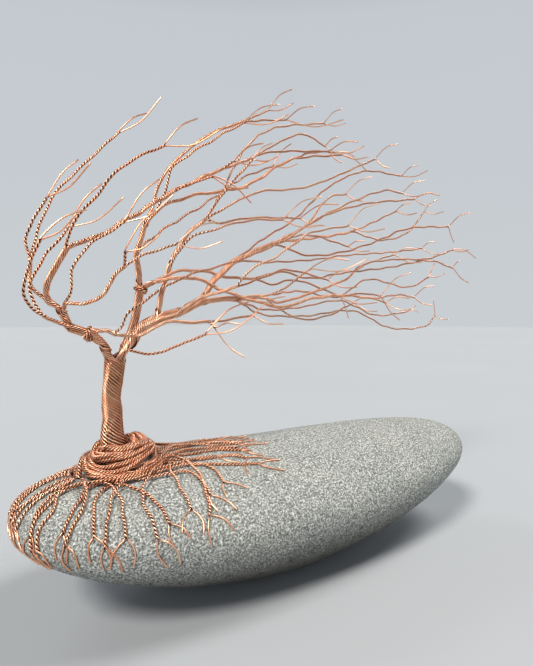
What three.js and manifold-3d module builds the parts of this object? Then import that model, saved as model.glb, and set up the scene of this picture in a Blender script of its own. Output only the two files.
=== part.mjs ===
// A windswept tree of twisted bare copper wire, standing on a smooth grey pebble.
// Millimetres, +Z up, +X along the pebble and the way the crown is blown.
// The origin is the middle of the small flat spot that the pebble rests on.
import * as THREE from 'three';
import { mergeVertices } from 'three/addons/utils/BufferGeometryUtils.js';
import Module from 'manifold-3d';

const wasm = await Module();
wasm.setup();

// ---- driving dimensions ----------------------------------------------------------------
const WIRE = 0.45; // diameter of the one bare wire that everything is twisted from
const GAP = 0.3; // clearance between neighbouring pieces
const PACKING = 0.7; // share of a rope's section that its round wires fill

const STONE = {
  length: 190, // along X
  width: 72, // along Y at mid length
  taper: 0.14, // how much wider the tree's end is than the far end
  above: 18.5, // height of the upper side over the waistline
  below: 27.5, // depth of the belly under the waistline
  waist: 26.6, // height of the waistline at mid length
  lean: 0.012, // slope of the waistline along X
  shoulder: 0.05, // how much fuller the tree's end is
  endRise: 4.5, // how far the waistline lifts at both ends
  planPower: 2.45,
  topPower: 2.55,
  bellyPower: 1.6,
  columns: 20,
  rows: 18,
};

const FOOT = { x: -64, y: 0 }; // where the trunk stands on the pebble
const FORK_HEIGHT = 81; // where the trunk divides into its three limbs
const LEAN_HEIGHT = 56; // from here up the trunk's middle moves 1 mm along X
const TRUNK_SIDES = 12;

// trunk radius by height
const TRUNK = [
  [46.2, 4.4],
  [50, 4.0],
  [55, 3.3],
  [64, 3.1],
  [72, 3.2],
  [78, 2.9],
  [82, 2.4],
];

const MOUND = {
  inner: 4.9, // radius of the hole that the trunk passes through
  coils: 4, // rows of rope
  coilRadius: 1.15,
  pitch: 2.35, // from one row to the next, outwards
  height: 7.0,
  fall: 1.7, // from one row to the next, downwards
  rowFaces: [150, 90, 30], // where each row's round back is cut into flats, in degrees
  sunk: 0.3, // share of the pebble's fall that the rows follow
  skirt: 0.1,
  floorSteps: 3, // rings of the underside, so that it follows the pebble
  around: 18,
};
const ROOT_CENTRE = new THREE.Vector3(-64, 0, 24); // roots run over the pebble round this point
const ROOT_ROPE = { radius: 15.2, thickness: 0.75, lift: 0.5, overhang: 2, step: 15, sides: 5 };
const ROOT_STEPS = 4;
const ROOT_LIFT = 1.6; // keeps a straight stretch of root off the rounded pebble

const TUBE_STEP = 11; // spacing of the rings along a strand
const FINE_STEPS = 200; // points that a strand's smooth route is measured with
const STRAND_SIDES = 4;
const TIP_SIDES = 3;
const TIP_AZIMUTH = THREE.MathUtils.degToRad(-20); // bare ends turn a little out of the crown's plane
const TIP_SPREAD = THREE.MathUtils.degToRad(12);
const TIP_BULGE = 0.12; // how far a bare end bows away from its twin, by its length

// how strands are moved clear of one another
const CLEARING = {
  rounds: 60,
  touching: 0.05, // closer than this, the way apart is read further along
  slack: 0.03,
  push: 1.0, // the most that one round moves a point
  share: 0.35, // the least share of a move that either end takes
  rooted: 0.2, // a strand's first stretch doesn't move nearer its parent than this share
};
const HALVINGS = 40; // steps that find the pebble's surface

const COPPER = { color: 0xc9784f, roughness: 0.3, metalness: 1.0 };
const PEBBLE = { color: 0x96998f, roughness: 0.9, metalness: 0.0 };

// ---- the crown -----------------------------------------------------------------------------
// Each rope: name, the piece it belongs to, the rope and the point there that it leaves, its route,
// and, where it ends as one twisted pair, how far its two bare ends reach along and up.
const CROWN = [
  ['left', 'trunk', null, [[-63, 0, 81], [-67, -1, 84], [-71, -2, 87], [-78, -4, 89]]],
  ['mid', 'trunk', null, [[-63, 0, 81], [-59, 3, 86], [-56, 4, 94], [-54, 4, 101]]],
  ['right', 'trunk', null,
    [[-63, 0, 81], [-58, 0, 84], [-54, 0, 88], [-49, 1, 93], [-42, 2, 94], [-33, 3, 97]]],

  ['left_low', 'left_low', ['left', 3], [[-85, -7, 92]]],
  ['left_a', 'left_low', ['left_low', 0],
    [[-90, -10, 96], [-91, -12, 102], [-87, -13, 113]], [[12, 9], [10, 7]]],
  ['left_b', 'left_low', ['left_low', 0],
    [[-88, -5, 97], [-88, -3, 103], [-77, 1, 119]], [[10, 14], [17, 9]]],
  ['left_up', 'left_outer', ['left', 3], [[-80, -4, 93], [-84, -4, 97]]],
  ['left_edge', 'left_outer', ['left_up', 1], [[-88, -3, 101], [-88, -1, 109]]],
  ['left_c', 'left_outer', ['left_edge', 1], [[-89, -1, 115], [-83, 0, 127]], [[9, 12], [13, 10]]],
  ['left_d', 'left_outer', ['left_edge', 1],
    [[-86, 3, 115], [-80, 8, 129], [-69, 13, 142], [-56, 19, 156]], [[10, 8], [15, 12]]],
  ['left_inner', 'left_inner', ['left_up', 1], [[-84, -5, 102], [-79, -7, 112]]],
  ['left_e', 'left_inner', ['left_inner', 1],
    [[-78, -9, 118], [-72, -9, 126], [-63, -9, 137], [-49, -6, 146]], [[11, 10], [18, 5]]],
  ['left_long', 'left_long', ['left_inner', 1],
    [[-70, -4, 116], [-56, 0, 125], [-41, 5, 135], [-21, 9, 146]]],
  ['left_f', 'left_long', ['left_long', 3], [[-17, 7, 149]], [[12, 8], [13, 0]]],
  ['left_g', 'left_dark', ['left_long', 2], [[-33, 4, 139], [-28, 3, 141]], [[15, -8], [13, -4]]],
  ['left_top', 'left_long', ['left_long', 3], [[-12, 11, 150], [-3, 13, 155]]],
  ['left_h', 'left_long', ['left_top', 1],
    [[8, 17, 162], [25, 21, 170], [39, 24, 168]], [[7, 5], [10, -3]]],
  ['left_i', 'left_end', ['left_top', 1], [[7, 14, 158], [35, 16, 163]], [[15, 6], [6, -5]]],
  ['left_stem', 'left_stem', ['left_up', 0], [[-80, -8, 96]]],
  ['left_j', 'left_stem', ['left_stem', 0],
    [[-79, -10, 99], [-78, -10, 106], [-75, -8, 111], [-62, -6, 121]], [[11, 14], [15, 8]]],
  ['left_k', 'left_front', ['left_stem', 0],
    [[-75, -10, 96], [-70, -11, 99], [-64, -11, 107], [-52, -9, 113], [-46, -8, 115]],
    [[14, 8], [15, 1]]],
  ['left_l', 'left_front', ['left_k', 2], [[-64, -13, 111]], [[9, 13], [10, 5]]],

  ['cross', 'cross', ['left', 0],
    [[-64, -5, 85], [-58, -6, 96], [-48, -5, 102], [-39, -4, 106], [-22, -1, 111], [3, 2, 121],
      [20, 3, 131], [44, 4, 139], [77, 5, 145]], [[15, 3], [8, -3]]],
  ['low_a', 'low_front', ['left', 0],
    [[-64, -5, 84], [-59, -7, 86], [-50, -7, 90], [-34, -6, 90], [-16, -5, 92]], [[13, 7], [11, -3]]],
  ['low_b', 'low_front', ['low_a', 3], [[-31, -9, 89]], [[11, -10], [12, -3]]],
  ['low_c', 'low_near', ['right', 0],
    [[-61, -5, 82], [-55, -6, 81], [-46, -8, 83], [-36, -9, 87]], [[15, 9], [16, 6]]],

  ['mid_up', 'mid_up', ['mid', 3], [[-55, 4, 112], [-52, 5, 122]]],
  ['mid_a', 'mid_up', ['mid_up', 1],
    [[-47, 5, 128], [-35, 7, 134], [-11, 9, 141], [12, 13, 155], [43, 17, 163]], [[14, -6], [12, -1]]],
  ['mid_b', 'mid_curl', ['mid_a', 3], [[28, 18, 162], [46, 23, 166]], [[9, -1], [12, 3]]],
  ['mid_c', 'mid_high', ['mid_up', 1], [[-47, 10, 131], [-43, 11, 141], [-23, 18, 160], [-5, 22, 170]]],
  ['mid_d', 'mid_high', ['mid_c', 3], [[20, 27, 177]], [[14, 8], [25, 0]]],
  ['mid_e', 'mid_high', ['mid_c', 3], [[13, 31, 181]], [[12, 11], [11, 3]]],
  ['mid_f', 'mid_near', ['mid_up', 1],
    [[-45, 6, 132], [-42, 6, 142], [-26, 8, 155], [-11, 10, 165]], [[15, 9], [17, 3]]],
  ['mid_g', 'mid_back', ['mid_up', 0],
    [[-43, 14, 122], [-24, 21, 134], [-2, 28, 149], [17, 33, 158]], [[9, 11], [11, 1]]],

  ['knot', 'sweep_top', ['mid', 3], [[-51, 1, 103]]],
  ['sweep_a', 'sweep_top', ['knot', 0], [[-42, 3, 107], [-33, 5, 108], [-18, 8, 106], [-7, 9, 106]]],
  ['sweep_b', 'sweep_top', ['sweep_a', 3],
    [[4, 8, 109], [20, 10, 107], [40, 13, 110], [72, 16, 114], [105, 19, 119], [124, 20, 116]],
    [[5, 4], [9, -8]]],
  ['sweep_c', 'sweep_tail', ['sweep_a', 3],
    [[0, 8, 104], [12, 9, 106], [38, 12, 100]], [[5, -10], [17, -3]]],
  ['sweep_d', 'sweep_low', ['knot', 0],
    [[-37, 0, 105], [-25, 1, 101], [-14, 2, 98], [3, 3, 95], [15, 5, 98], [36, 8, 100], [58, 11, 99]]],
  ['sweep_e', 'sweep_low', ['sweep_d', 6], [[65, 11, 97]], [[14, 2], [13, -3]]],
  ['sweep_f', 'sweep_low', ['sweep_d', 6], [[79, 16, 101], [92, 18, 100]], [[13, 6], [9, -4]]],
  ['sweep_g', 'sweep_fork', ['sweep_d', 5], [[48, 6, 101], [58, 7, 100]], [[17, 11], [9, -11]]],

  ['up', 'up', ['right', 3], [[-47, 3, 99], [-44, 3, 109], [-38, 4, 119], [-30, 5, 126]]],
  ['up_a', 'up', ['up', 3],
    [[-22, 9, 136], [-7, 15, 158], [8, 20, 169], [40, 26, 179]], [[10, 8], [10, 0]]],
  ['up_b', 'up_short', ['up', 3], [[-23, 4, 136], [-12, 2, 149]], [[8, 7], [9, 1]]],
  ['up_c', 'up_front', ['up', 3],
    [[-24, 2, 130], [-11, 1, 137], [12, 2, 142], [53, 6, 160]], [[12, 8], [6, -4]]],
  ['up_d', 'up_level', ['up', 3], [[-26, 3, 125], [-13, 4, 128], [14, 8, 131]], [[18, 7], [10, -3]]],
  ['up_e', 'up_low', ['up', 1],
    [[-38, 0, 118], [-29, -3, 122], [-16, -2, 126], [0, 0, 128]], [[17, 10], [15, -2]]],

  ['rise', 'rise', ['right', 5], [[-25, 5, 106], [-17, 6, 112], [1, 8, 120]]],
  ['rise_a', 'rise', ['rise', 2],
    [[17, 8, 128], [32, 9, 136], [62, 9, 148], [73, 9, 148]], [[13, 7], [12, 0]]],
  ['rise_b', 'rise_twin', ['rise_a', 0], [[32, 12, 142], [43, 14, 145]], [[14, 9], [8, -3]]],
  ['rise_c', 'rise_back', ['rise', 1],
    [[-1, 13, 122], [18, 19, 132], [44, 27, 151], [71, 32, 163], [100, 35, 165]], [[11, 7], [14, 3]]],
  ['rise_d', 'rise_long', ['rise', 2],
    [[14, 5, 116], [33, 6, 118], [54, 7, 124], [77, 9, 132], [110, 12, 136]], [[15, 8], [3, -8]]],
  ['rise_e', 'rise_mid', ['rise', 2], [[24, 16, 126], [50, 20, 123]], [[9, 3], [10, -2]]],
  ['rise_f', 'rise_far', ['rise', 2],
    [[27, 19, 125], [56, 25, 131], [92, 31, 145]], [[10, 5], [11, -1]]],
  ['rise_g', 'rise_far', ['rise_f', 1],
    [[80, 29, 129], [102, 32, 135], [118, 35, 148]], [[9, 7], [11, 0]]],
  ['rise_h', 'rise_under', ['rise', 1],
    [[0, 13, 113], [30, 20, 116], [49, 23, 119], [92, 29, 124], [112, 31, 127]], [[10, 4], [11, -3]]],

  ['spread', 'spread', ['right', 5], [[-20, 3, 98], [-8, 3, 99]]],
  ['spread_a', 'spread', ['spread', 1], [[-1, 1, 101], [13, 0, 110]], [[18, 4], [23, 4]]],
  ['spread_b', 'spread_far', ['spread', 1], [[3, 7, 97], [24, 9, 102], [40, 10, 107]]],
  ['spread_c', 'spread_far', ['spread_b', 2], [[55, 16, 114], [80, 20, 121]], [[15, 3], [14, -4]]],
  ['spread_d', 'spread_far', ['spread_b', 2],
    [[52, 13, 114], [76, 16, 118], [103, 19, 120], [125, 21, 126]], [[17, -4], [9, 0]]],
  ['spread_e', 'near', ['right', 4], [[-35, -3, 98], [-23, -5, 102]]],
  ['spread_f', 'near', ['spread_e', 1],
    [[-13, -4, 105], [0, -2, 109], [22, 0, 106]], [[10, 4], [12, -3]]],
  ['spread_g', 'near_high', ['spread_e', 1],
    [[-19, -6, 107], [-6, -7, 114], [9, -6, 123], [27, -6, 127]], [[14, 10], [15, -1]]],
  ['loop_a', 'loop', ['spread', 1],
    [[8, 13, 94], [18, 14, 90], [34, 16, 91], [52, 18, 97]], [[10, 2], [11, -4]]],
  ['loop_b', 'loop_back', ['spread', 0],
    [[0, 13, 94], [23, 20, 95], [51, 26, 98], [76, 29, 91], [99, 32, 92]], [[11, 0], [7, 4]]],
  ['loop_c', 'loop_far', ['spread', 0],
    [[2, 18, 92], [28, 24, 91], [62, 29, 93], [90, 32, 84], [121, 34, 85], [128, 35, 90]],
    [[-1, 9], [8, -2]]],
  ['loop_d', 'loop_high', ['spread', 1],
    [[24, 21, 102], [51, 28, 100], [73, 32, 109], [107, 35, 106], [124, 36, 112]], [[4, 8], [9, 2]]],
];

// ---- the roots ------------------------------------------------------------------------------
// Each root is a twisted pair that runs over the pebble. Its places are bearings about
// ROOT_CENTRE, in degrees: round from +X, and up from level. The first is only the bearing
// where the root leaves the rope at the mound's edge.
const ROOTS = {
  roots_left: [
    [140, [150, 36], [157, 22], [176, 15]],
    [152, [165, 32], [-177, 17], [-164, 9]],
    [164, [171, 34], [-175, 20], [-160, 9]],
    [176, [178, 38], [-170, 24], [-156, 8]],
    [-170, [-168, 38], [-160, 22], [-150, 8]],
  ],
  roots_corner: [
    [-160, [-159, 40], [-154, 20], [-147, 7]],
    [-152, [-149, 36], [-147, 20], [-141, 3]],
    [-145, [-137, 40], [-134, 22], [-131, 6]],
    [-138, [-131, 36], [-130, 20], [-127, 2]],
  ],
  roots_front: [
    [-126, [-121, 36], [-118, 20], [-116, 7]],
    [-112, [-112, 32], [-111, 16], [-107, 3]],
    [-102, [-102, 32], [-101, 18], [-104, 4]],
    [-90, [-88, 30], [-86, 15], [-79, 0]],
    [-82, [-80, 34], [-77, 20], [-73, 10]],
  ],
  roots_near: [
    [-68, [-61, 38], [-64, 24], [-70, 13]],
    [-58, [-50, 38], [-56, 24], [-60, 7]],
    [-48, [-40, 38], [-48, 26], [-55, 16]],
    [-40, [-32, 38], [-38, 28], [-45, 20]],
  ],
  roots_along: [
    [-28, [-27, 36], [-25, 24], [-24, 18]],
    [-20, [-19, 34], [-20, 26], [-28, 22]],
    [-10, [-9, 38], [-9, 28], [-10, 23]],
    [0, [0, 38], [0, 28], [-3, 22]],
    [10, [9, 36], [7, 26], [5, 20]],
    [20, [18, 36], [15, 26], [12, 20]],
  ],
  roots_far: [
    [32, [27, 38], [23, 28], [22, 21]],
    [42, [38, 38], [33, 26], [28, 18]],
    [52, [50, 36], [45, 22], [38, 12]],
    [62, [62, 36], [57, 20], [52, 8]],
    [72, [72, 36], [69, 18], [64, 4]],
  ],
  roots_behind: [
    [82, [83, 34], [81, 16], [76, 3]],
    [93, [93, 34], [92, 18], [90, 4]],
    [104, [104, 34], [103, 16], [101, 2]],
    [115, [116, 36], [116, 18], [113, 5]],
    [126, [130, 36], [134, 18], [141, 6]],
  ],
};

// ---- small helpers ---------------------------------------------------------------------
const v3 = (p) => new THREE.Vector3(p[0], p[1], p[2]);
const superEdge = (t, power) => Math.max(0, 1 - Math.abs(t) ** power) ** (1 / power);

function ropeRadius(pairs) {
  if (pairs <= 1) return WIRE;
  return 0.5 * WIRE * Math.sqrt((2 * pairs) / PACKING);
}

// rings of points along a route, closed by a fan at each end
function sweep(points, radii, sides) {
  const positions = [];
  const indices = [];
  const tangents = points.map((p, i) => {
    const before = points[Math.max(0, i - 1)];
    const after = points[Math.min(points.length - 1, i + 1)];
    return after.clone().sub(before).normalize();
  });
  const start = Math.abs(tangents[0].z) < 0.9 ? new THREE.Vector3(0, 0, 1) : new THREE.Vector3(1, 0, 0);
  let across = start.clone().cross(tangents[0]).normalize();
  points.forEach((p, i) => {
    const t = tangents[i];
    across = across.clone().addScaledVector(t, -across.dot(t)).normalize();
    const over = t.clone().cross(across);
    for (let k = 0; k < sides; k += 1) {
      const a = (2 * Math.PI * k) / sides;
      const q = p.clone();
      q.addScaledVector(across, Math.cos(a) * radii[i]);
      q.addScaledVector(over, Math.sin(a) * radii[i]);
      positions.push(q.x, q.y, q.z);
    }
  });
  for (let i = 0; i + 1 < points.length; i += 1) {
    for (let k = 0; k < sides; k += 1) {
      const a = i * sides + k;
      const b = i * sides + ((k + 1) % sides);
      indices.push(a, b, b + sides, a, b + sides, a + sides);
    }
  }
  const last = (points.length - 1) * sides;
  for (let k = 1; k + 1 < sides; k += 1) {
    indices.push(0, k + 1, k);
    indices.push(last, last + k, last + k + 1);
  }
  const geometry = new THREE.BufferGeometry();
  geometry.setAttribute('position', new THREE.Float32BufferAttribute(positions, 3));
  geometry.setIndex(indices);
  return geometry;
}

function solidOf(geometry) {
  const bare = geometry.clone();
  bare.deleteAttribute('normal');
  bare.deleteAttribute('uv');
  const merged = mergeVertices(bare, 1e-5);
  const mesh = new wasm.Mesh({
    numProp: 3,
    vertProperties: new Float32Array(merged.attributes.position.array),
    triVerts: new Uint32Array(merged.index.array),
  });
  return new wasm.Manifold(mesh);
}

function geometryOf(solid) {
  const mesh = solid.getMesh();
  const geometry = new THREE.BufferGeometry();
  geometry.setAttribute('position', new THREE.BufferAttribute(new Float32Array(mesh.vertProperties), 3));
  geometry.setIndex(new THREE.BufferAttribute(new Uint32Array(mesh.triVerts), 1));
  return geometry;
}

function joined(geometries) {
  const solids = geometries.map(solidOf);
  return geometryOf(solids.slice(1).reduce((all, one) => all.add(one), solids[0]));
}

function named(name, geometry, finish) {
  geometry.computeVertexNormals();
  const mesh = new THREE.Mesh(geometry, new THREE.MeshStandardMaterial(finish));
  mesh.name = name;
  return mesh;
}

// ---- the pebble ------------------------------------------------------------------------
// half width, waistline height, and the reach above and below it, at t from -1 to 1 along X
function stoneSection(t) {
  return {
    half: (STONE.width / 2) * superEdge(t, STONE.planPower) * (1 - STONE.taper * t),
    waist: STONE.waist + (STONE.lean * t * STONE.length) / 2 + STONE.endRise * t * t,
    above: STONE.above * superEdge(t, STONE.topPower) * (1 - STONE.shoulder * t),
    below: STONE.below * superEdge(t, STONE.bellyPower) * (1 - STONE.shoulder * t),
  };
}

function stonePoint(t, angle) {
  const s = stoneSection(t);
  const reach = Math.sin(angle) > 0 ? s.above : s.below;
  const z = s.waist + Math.sin(angle) * reach;
  return new THREE.Vector3((t * STONE.length) / 2, Math.cos(angle) * s.half, Math.max(0, z));
}

function insideStone(p) {
  const t = p.x / (STONE.length / 2);
  if (Math.abs(t) >= 1) return false;
  const s = stoneSection(t);
  const reach = p.z > s.waist ? s.above : s.below;
  return (p.y / s.half) ** 2 + ((p.z - s.waist) / reach) ** 2 < 1;
}

function stoneTop(x, y) {
  const s = stoneSection(x / (STONE.length / 2));
  return s.waist + s.above * Math.sqrt(Math.max(0, 1 - (y / s.half) ** 2));
}

function pebble() {
  const globe = new THREE.SphereGeometry(1, STONE.rows, STONE.columns);
  globe.rotateZ(-Math.PI / 2);
  const position = globe.attributes.position;
  for (let i = 0; i < position.count; i += 1) {
    const t = THREE.MathUtils.clamp(position.getX(i), -1, 1);
    const angle = Math.atan2(position.getZ(i), position.getY(i));
    const p = stonePoint(t, angle);
    position.setXYZ(i, p.x, p.y, p.z);
  }
  globe.deleteAttribute('normal');
  globe.deleteAttribute('uv');
  return mergeVertices(globe, 1e-4);
}

// the point over the pebble on a bearing from ROOT_CENTRE, lifted clear of the surface
function onStone(round, up, lift) {
  const a = THREE.MathUtils.degToRad(round);
  const e = THREE.MathUtils.degToRad(up);
  const way = new THREE.Vector3(Math.cos(a) * Math.cos(e), Math.sin(a) * Math.cos(e), Math.sin(e));
  let near = 0;
  let far = STONE.length;
  for (let i = 0; i < HALVINGS; i += 1) {
    const middle = (near + far) / 2;
    if (insideStone(ROOT_CENTRE.clone().addScaledVector(way, middle))) near = middle;
    else far = middle;
  }
  return ROOT_CENTRE.clone().addScaledVector(way, near + lift);
}

// ---- the mound of coiled ropes round the trunk ---------------------------------------------
function mound() {
  const profile = [];
  for (let row = 0; row < MOUND.coils; row += 1) {
    const middle = MOUND.inner + MOUND.coilRadius + row * MOUND.pitch;
    const height = MOUND.height - row * MOUND.fall - MOUND.coilRadius;
    MOUND.rowFaces.forEach((degrees) => {
      const a = THREE.MathUtils.degToRad(degrees);
      profile.push([middle + MOUND.coilRadius * Math.cos(a), height + MOUND.coilRadius * Math.sin(a)]);
    });
  }
  const outer = profile[profile.length - 1][0] + MOUND.skirt;
  for (let i = 0; i <= MOUND.floorSteps; i += 1) {
    profile.push([THREE.MathUtils.lerp(outer, MOUND.inner, i / MOUND.floorSteps), GAP]);
  }
  const rings = profile.length;
  const positions = [];
  const indices = [];
  const topHeight = stoneTop(FOOT.x, FOOT.y);
  for (let j = 0; j < MOUND.around; j += 1) {
    const a = (2 * Math.PI * j) / MOUND.around;
    profile.forEach(([r, h]) => {
      const x = FOOT.x + r * Math.cos(a);
      const y = FOOT.y + r * Math.sin(a);
      const ground = stoneTop(x, y);
      const sunk = h <= GAP ? ground : THREE.MathUtils.lerp(ground, topHeight, MOUND.sunk);
      positions.push(x, y, sunk + h);
    });
    for (let i = 0; i < rings; i += 1) {
      const p = j * rings + i;
      const q = j * rings + ((i + 1) % rings);
      const step = ((j + 1) % MOUND.around) * rings - j * rings;
      indices.push(p, q, q + step, p, q + step, p + step);
    }
  }
  const geometry = new THREE.BufferGeometry();
  geometry.setAttribute('position', new THREE.Float32BufferAttribute(positions, 3));
  geometry.setIndex(indices);
  return geometry;
}

// ---- ropes and strands --------------------------------------------------------------------
const ropes = new Map();
CROWN.forEach(([name, piece, leaves, route, tips]) => {
  ropes.set(name, { name, piece, leaves, route: route.map(v3), tips });
});

// how many twisted pairs a rope still carries past one point of its route
function pairsPast(name, index) {
  const rope = ropes.get(name);
  let pairs = rope.tips ? 1 : 0;
  ropes.forEach((other) => {
    if (other.leaves && other.leaves[0] === name && other.leaves[1] >= index) {
      pairs += pairsPast(other.name, 0);
    }
  });
  return pairs;
}

// the closest points of segments a-b and c-d, as how far along each
function closest(a, b, c, d) {
  const u = b.clone().sub(a);
  const v = d.clone().sub(c);
  const w = a.clone().sub(c);
  const uu = u.dot(u);
  const vv = v.dot(v);
  const uv = u.dot(v);
  const uw = u.dot(w);
  const vw = v.dot(w);
  const bottom = Math.max(uu * vv - uv * uv, 1e-9);
  let s = THREE.MathUtils.clamp((uv * vw - vv * uw) / bottom, 0, 1);
  const t = THREE.MathUtils.clamp((vw + uv * s) / vv, 0, 1);
  s = THREE.MathUtils.clamp((uv * t - uw) / uu, 0, 1);
  return [s, t];
}

const placed = []; // every piece's segments so far, which later strands keep clear of

// move a route's points aside until it clears every earlier piece
function clearOf(points, radii, piece, first) {
  for (let round = 0; round < CLEARING.rounds; round += 1) {
    let moved = false;
    for (let i = 0; i + 1 < points.length; i += 1) {
      const mine = Math.max(radii[i], radii[i + 1]);
      placed.forEach((other) => {
        if (other.piece === piece) return;
        const need = mine + other.radius + GAP;
        const low = Math.min(points[i].x, points[i + 1].x) - need;
        const high = Math.max(points[i].x, points[i + 1].x) + need;
        if (Math.max(other.a.x, other.b.x) < low || Math.min(other.a.x, other.b.x) > high) return;
        const [s, t] = closest(points[i], points[i + 1], other.a, other.b);
        const p = points[i].clone().lerp(points[i + 1], s);
        const q = other.a.clone().lerp(other.b, t);
        const away = p.clone().sub(q);
        const distance = away.length();
        if (distance >= need) return;
        if (distance < CLEARING.touching) {
          away.copy(points[Math.min(points.length - 1, i + 3)]).sub(q);
          const along = other.b.clone().sub(other.a).normalize();
          away.addScaledVector(along, -away.dot(along));
        }
        away.normalize().multiplyScalar(Math.min(need - distance + CLEARING.slack, CLEARING.push));
        const free = i >= first;
        if (free || s > CLEARING.rooted) points[i + 1].addScaledVector(away, Math.max(s, CLEARING.share));
        if (free) points[i].addScaledVector(away, Math.max(1 - s, CLEARING.share));
        moved = true;
      });
    }
    if (!moved) return;
  }
}

function remember(points, radii, piece) {
  for (let i = 0; i + 1 < points.length; i += 1) {
    placed.push({ a: points[i], b: points[i + 1], radius: Math.max(radii[i], radii[i + 1]), piece });
  }
}

// a rope's ring centres and radii; it starts where its parent rope has really come to lie
function layRope(rope) {
  const parent = rope.leaves ? ropes.get(rope.leaves[0]) : null;
  const knots = [];
  if (parent) {
    const leaving = parent.route[rope.leaves[1]];
    let nearest = 0;
    parent.points.forEach((p, i) => {
      if (p.distanceTo(leaving) < parent.points[nearest].distanceTo(leaving)) nearest = i;
    });
    if (nearest > 0) knots.push(parent.points[nearest - 1]);
    knots.push(parent.points[nearest]);
  }
  const lead = Math.max(0, knots.length - 1);
  const all = [...knots, ...rope.route];
  const curve = new THREE.CatmullRomCurve3(all, false, 'centripetal');
  const from = lead / (all.length - 1);
  const fine = [];
  for (let i = 0; i <= FINE_STEPS; i += 1) {
    fine.push(curve.getPoint(THREE.MathUtils.lerp(from, 1, i / FINE_STEPS)));
  }
  const lengths = [0];
  for (let i = 1; i < fine.length; i += 1) {
    lengths.push(lengths[i - 1] + fine[i].distanceTo(fine[i - 1]));
  }
  const total = lengths[lengths.length - 1];
  const steps = Math.max(1, Math.round(total / TUBE_STEP));
  const points = [];
  let k = 0;
  for (let i = 0; i <= steps; i += 1) {
    const want = (total * i) / steps;
    while (k + 1 < lengths.length - 1 && lengths[k + 1] < want) k += 1;
    const share = (want - lengths[k]) / Math.max(1e-6, lengths[k + 1] - lengths[k]);
    points.push(fine[k].clone().lerp(fine[k + 1], THREE.MathUtils.clamp(share, 0, 1)));
  }
  const radii = points.map((p) => {
    let index = 0;
    rope.route.forEach((q, i) => {
      if (p.distanceTo(q) < p.distanceTo(rope.route[index])) index = i;
    });
    return ropeRadius(pairsPast(rope.name, index));
  });
  const samePiece = parent && parent.piece === rope.piece;
  clearOf(points, radii, rope.piece, samePiece ? 1 : 0);
  rope.points = points;
  remember(points, radii, rope.piece);
  return sweep(points, radii, STRAND_SIDES);
}

// the two bare ends of a twisted pair, bowed apart
function layTips(rope) {
  const start = rope.points[rope.points.length - 1];
  return rope.tips.map(([reach, rise], i) => {
    const side = i === 0 ? 1 : -1;
    const azimuth = TIP_AZIMUTH + side * TIP_SPREAD;
    const end = start.clone().add(v3([reach * Math.cos(azimuth), reach * Math.sin(azimuth), rise]));
    const middle = start.clone().lerp(end, 0.5);
    middle.z += side * TIP_BULGE * start.distanceTo(end);
    const points = [start.clone(), middle, end];
    const radii = [WIRE / 2, WIRE / 2, WIRE / 2];
    clearOf(points, radii, rope.piece, 1);
    remember(points, radii, rope.piece);
    return sweep(points, radii, TIP_SIDES);
  });
}

function trunkTube() {
  const points = TRUNK.map(([z]) => {
    const lean = THREE.MathUtils.smoothstep(z, LEAN_HEIGHT, FORK_HEIGHT);
    return v3([FOOT.x + lean, FOOT.y, z]);
  });
  const radii = TRUNK.map(([, radius]) => radius);
  remember(points, radii, 'trunk');
  return sweep(points, radii, TRUNK_SIDES);
}

// ---- roots -----------------------------------------------------------------------------
// a bearing turned by whole circles until it follows on from the one before
function followOn(round, before) {
  return round + 360 * Math.round((before - round) / 360);
}

function ropeEdge(round) {
  const a = THREE.MathUtils.degToRad(round);
  const x = FOOT.x + ROOT_ROPE.radius * Math.cos(a);
  const y = FOOT.y + ROOT_ROPE.radius * Math.sin(a);
  return v3([x, y, stoneTop(x, y) + ROOT_ROPE.thickness + ROOT_ROPE.lift]);
}

function rootTube([leaves, ...places]) {
  const start = ropeEdge(leaves);
  const up = Math.atan2(start.z - ROOT_CENTRE.z, ROOT_ROPE.radius);
  const bearings = [new THREE.Vector3(leaves, THREE.MathUtils.radToDeg(up), 0)];
  places.forEach(([round, height]) => {
    bearings.push(new THREE.Vector3(followOn(round, bearings[bearings.length - 1].x), height, 0));
  });
  const curve = new THREE.CatmullRomCurve3(bearings, false, 'centripetal');
  const points = curve.getPoints(ROOT_STEPS).map((b) => onStone(b.x, b.y, ROOT_LIFT));
  points[0].copy(start);
  return sweep(points, points.map(() => WIRE), STRAND_SIDES);
}

// the short rope at the mound's edge that a sector's roots all come out of
function rootRope(roots) {
  const rounds = [];
  roots.forEach(([leaves]) => rounds.push(followOn(leaves, rounds.length > 0 ? rounds[0] : leaves)));
  const low = Math.min(...rounds) - ROOT_ROPE.overhang;
  const high = Math.max(...rounds) + ROOT_ROPE.overhang;
  const steps = Math.round((high - low) / ROOT_ROPE.step);
  const points = [];
  for (let i = 0; i <= steps; i += 1) {
    points.push(ropeEdge(THREE.MathUtils.lerp(low, high, i / steps)));
  }
  return sweep(points, points.map(() => ROOT_ROPE.thickness), ROOT_ROPE.sides);
}

// ---- assembly ---------------------------------------------------------------------------
const model = new THREE.Group();
model.add(named('stone', pebble(), PEBBLE));
model.add(named('root_mound', mound(), COPPER));

const pieces = new Map([['trunk', [trunkTube()]]]);
ropes.forEach((rope) => {
  if (!pieces.has(rope.piece)) pieces.set(rope.piece, []);
  pieces.get(rope.piece).push(layRope(rope));
  if (rope.tips) pieces.get(rope.piece).push(...layTips(rope));
});
pieces.forEach((geometries, piece) => {
  const name = piece === 'trunk' ? 'trunk_and_limbs' : `spray_${piece}`;
  model.add(named(name, joined(geometries), COPPER));
});

Object.entries(ROOTS).forEach(([name, roots]) => {
  model.add(named(name, joined([rootRope(roots), ...roots.map(rootTube)]), COPPER));
});

export default model;
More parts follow.
